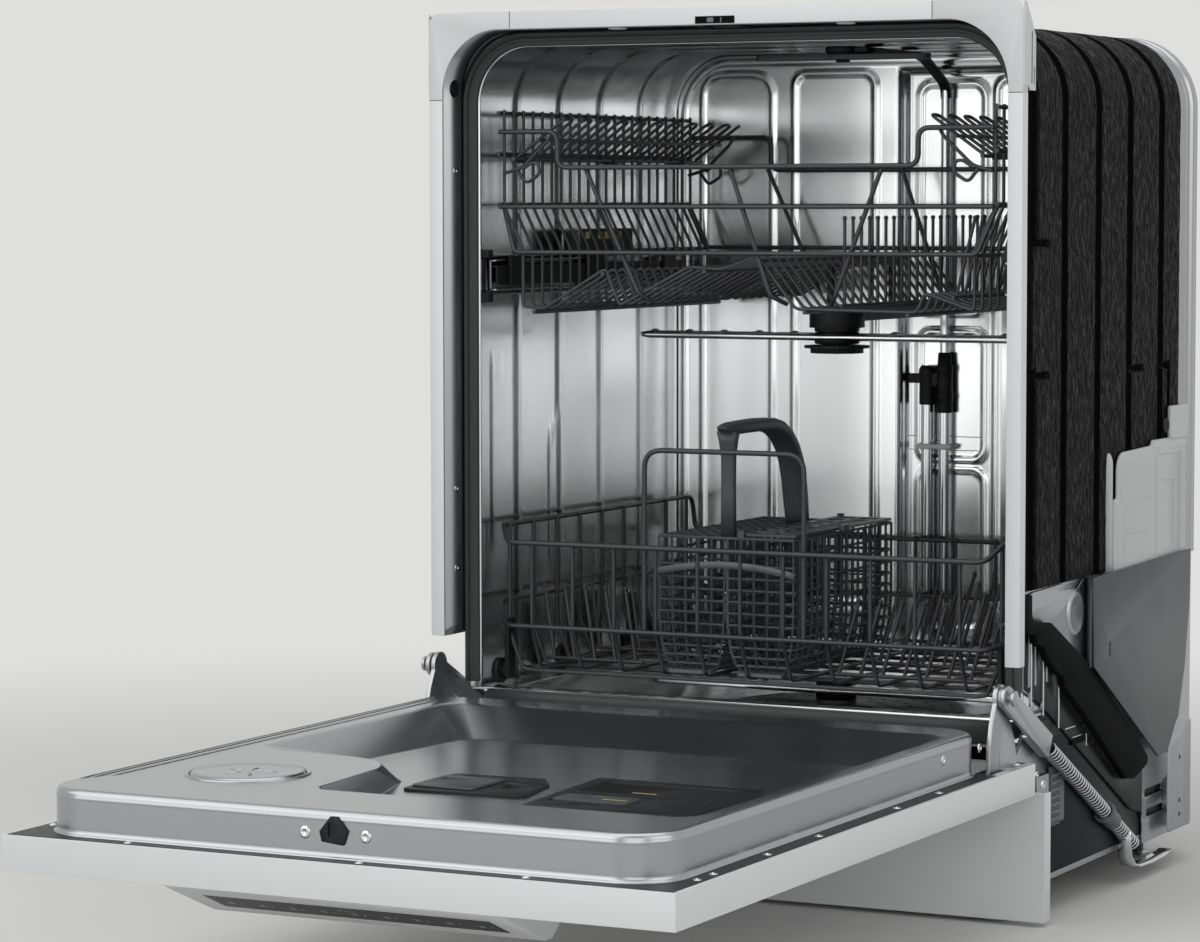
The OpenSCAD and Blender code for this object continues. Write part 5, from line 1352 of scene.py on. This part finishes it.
# %% Roof duct
duct = [(290, 801.4, 9, 5.6), (300, 801.4, 9, 6.4), (424, 801.4, 8, 5.4), (440, 800.6, 7, 5.4),
        (452, 797.4, 6, 5.6), (466, 791.4, 5.6, 5.8), (484, 783.4, 5.4, 6), (496, 778.4, 5.4, 6),
        (503, 774, 5.4, 6), (507.6, 768, 5.4, 6), (508.6, 760, 5.4, 6)]
keep(sweep("roof_duct_moulded", duct, right_pipe), "cabinet", *black, ["roof_duct"])
block("roof_duct_hub_arm", (0, 285, 798.6), (29, 300, 804.6), "cabinet", *black, 1.6)
hub = [(790, 0.01), (790, 6.6), (791, 7), (792, 7), (792.4, 4), (798.8, 4), (799, 16), (800, 17),
       (804.4, 17), (805.2, 16), (805.2, 0.01)]
keep(spun("roof_duct_hub", hub, (0, 292, 0), "z", 48), "cabinet", *black)

# %% [markdown]
# ## Balance springs
# Each spring is 44 turns of 2.4 mm wire, and under load its turns stand 6 mm apart. The middle line is
# a helix, drawn point by point, and the ends run in to the axis. As the door closes, the way from pin
# to anchor shrinks by a third, so the spring is squashed along its axis towards the lever, and so is
# the black sleeve inside it. A grey collar with a flange slides over the coils.

# %% Springs
pin_y, pin_z, tilt = -11, 217, math.radians(-27.585)
run_y, run_z = math.cos(tilt), math.sin(tilt)


def on_link(x, along, off):
    return (x, pin_y + along * run_y - off * run_z, pin_z + along * run_z + off * run_y)


coil_start, coil_end, turns, radius, wire_mm, sleeve_radius = 121.2, 395.2, 44, 6.3, 2.4, 4.3
spots = 20 * turns
cuff = [(296.2, 8.3), (296, 10.4), (296.6, 11), (300.2, 11), (301, 10.4), (301.4, 9.2), (302, 8.9),
        (324.4, 8.9), (325.6, 8.3)]
for sign, side in BOTH:
    link_x = sign * 288
    path = []
    for i in range(spots + 1):
        t = i / spots
        a = 2 * math.pi * turns * t
        pull = min(1, min(i, spots - i) / 12)
        along = coil_start + 1.3 + (coil_end - coil_start - 2.6) * t
        path.append(on_link(link_x + radius * pull * math.cos(a), along, radius * pull * math.sin(a)))
    cad_spring = [f"balance_spring_{side}"]
    spring = wires(f"balance_spring_coil_{side}", [path], wire_mm, 0, "links", *zinc, cad_spring, 2)
    core = []
    for k in range(49):
        along = coil_start + 2 + (coil_end - coil_start - 6) * k / 48
        core.append([on_link(link_x + sleeve_radius * c, along, sleeve_radius * s)
                     for c, s in circle(20, False)])
    sleeve = keep(loft(f"balance_spring_sleeve_{side}", core, True, True), "links", *matt_black)
    for piece in (spring, sleeve):
        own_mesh(piece)
    rows = [[on_link(link_x + r * c, along, r * s) for along, r in cuff] for c, s in circle(40)]
    keep(loft(f"spring_collar_{side}", rows), "collars", "plastic_light", grey_plastic, ["spring_collars"])
    print(f"{side} spring: {len(spring.data.vertices)} points")

# %% [markdown]
# ## Small parts of the door and cabinet
# Screw heads, plugs and the vent cap are turned shapes. The vent cap has a rolled ring, a groove and a
# low dome with a plain mark of five curved strokes. The heads have a recess that gives a dark centre.

# %% Vent cap
vent_x, vent_y = -165, -541
lid = [(0, 52), (1, 51.8), (1.7, 50.8), (1.7, 49.8), (0.8, 48.8), (0.3, 47.6), (0.8, 46.8), (2.2, 45.8),
       (2.8, 44.4), (2.7, 42), (2, 38), (2.1, 30), (2.2, 0.01)]
keep(spun("vent_cap_turned", lid, (vent_x, vent_y, 189.8), "z", 96), "door", *satin, ["vent_cap"])
leaves = []
for k in range(5):
    a = 2 * math.pi * k / 5 + 0.3
    leaves.append([(vent_x + r * math.cos(a + w), vent_y + r * math.sin(a + w), 191.9)
                   for r, w in ((6, 0), (12, 0.16), (19, 0.1), (24, -0.06))])
wires("vent_cap_mark", leaves, 1.3, 3, "door", *satin)
groove = [(vent_x + 47.8 * c, vent_y + 47.8 * s, 190.2) for c, s in circle(64, False)]
wires("vent_cap_seal", [groove + [groove[0]]], 1.4, 0, "door", *rubber)

# %% [markdown]
# A head's profile is measured from its seat, and its radius sets all the others. The plugs of the
# liner's wall and the two pale caps over the opening are the same sort of turned shape.

# %% Screw heads and plugs
def head(name, at, axis, sign, radius, body, stands_for=()):
    shape = [(0, 1), (0.5, 1), (1.0, 0.86), (1.3, 0.55), (1.2, 0.46), (0.5, 0.4), (0.5, 0.01 / radius)]
    piece = spun(name, [(sign * up, radius * wide) for up, wide in shape], at, axis, 28)
    keep(piece, body, *satin_screw, stands_for)


for s, side in BOTH:
    for k, y in enumerate((-640, -612, -514, -416, -256, -163)):
        head(f"door_edge_screw_{side}_{k}", (s * 288, y, 152.8), "z", 1, 3.6, "door", ["door_screws"])
    for k, y in enumerate((-127, -42)):
        head(f"liner_plug_{side}_{k}", (s * 277, y, 176), "x", s, 4.4, "door")
    head(f"hinge_arm_screw_{side}", (s * 291, 12, 155.2), "z", 1, 3.6, "door")
    head(f"latch_screw_{side}", (s * 27, -679, 172), "y", -1, 5, "door")
    for k, z in enumerate((684, 382, 306)):
        head(f"return_screw_{side}_{k}", (s * 284, 24, z), "x", -s, 3.6, "cabinet", ["cabinet_screws"])
    head(f"hinge_bolt_{side}", (s * 278.5, 96, 134), "x", s, 4.6, "cabinet")
for k, x in enumerate((-184, 26, 170)):
    head(f"door_front_screw_{k}", (x, -688, 152.8), "z", 1, 3.4, "door")
button = [(0, 9), (-0.7, 9), (-1.5, 8), (-1.8, 6), (-1.7, 0.01)]
for k, x in enumerate((-110, 120)):
    keep(spun(f"return_cap_{k}", button, (x, 22, 815.6), "z", 40), "cabinet", *light_grey)

# %% [markdown]
# The last marks are printed: two yellow lines on the dispensers, and plain dots and bars on the control
# glass that stand for its buttons. The lines are thin plates, and the dots and bars are single faces
# just in front of the pane. The pane leans back by 22.5 degrees, so its points are turned about its edge.

# %% Printed marks
block("dispenser_line_long", (97.7, -366, 168.0), (119.6, -364.2, 168.2), "door", *yellow, 0.08)
block("dispenser_line_short", (99, -424.4, 170.8), (122, -422.6, 170.95), "rinse_aid_flap", *yellow, 0.05)
glass_turn = math.radians(-22.5)


def on_glass(x, up, deep):
    return (x, -676 + up * math.cos(glass_turn) - deep * math.sin(glass_turn),
            116 + up * math.sin(glass_turn) + deep * math.cos(glass_turn))


def oblong(x, y, w, h, deep):
    return [on_glass(x + dx * w / 2, y + dy * h / 2, deep) for dx, dy in ((-1, -1), (1, -1), (1, 1), (-1, 1))]


pane = [spot for deep in (0.1, 2) for spot in oblong(0, 26, 255.6, 39.6, deep)]
pane = shell("control_glass_pane", pane, BOX_FACES, False)
modify(pane, "BEVEL", width=0.0002, segments=2)
keep(set_mesh(pane), "door", "glass_dark", control_black, ["control_glass"])
drawn = []
for k in range(9):
    x = -112 + 28 * k
    drawn += [(x, 26, 5, 0.9), (x, 30, 5, 0.9), (x + 9, 28, 1.4, 1.4)]
drawn += [(x, 18, 3.6, 0.8) for x in (-8, -2, 4)]
corners = [spot for sizes in drawn for spot in oblong(*sizes, -0.06)]
faces = [(k, k + 3, k + 2, k + 1) for k in range(0, len(corners), 4)]
printed = shell("control_marks", corners, faces, False)
keep(printed, "door", "plastic_light", white_print)
print("marks:", len(drawn))
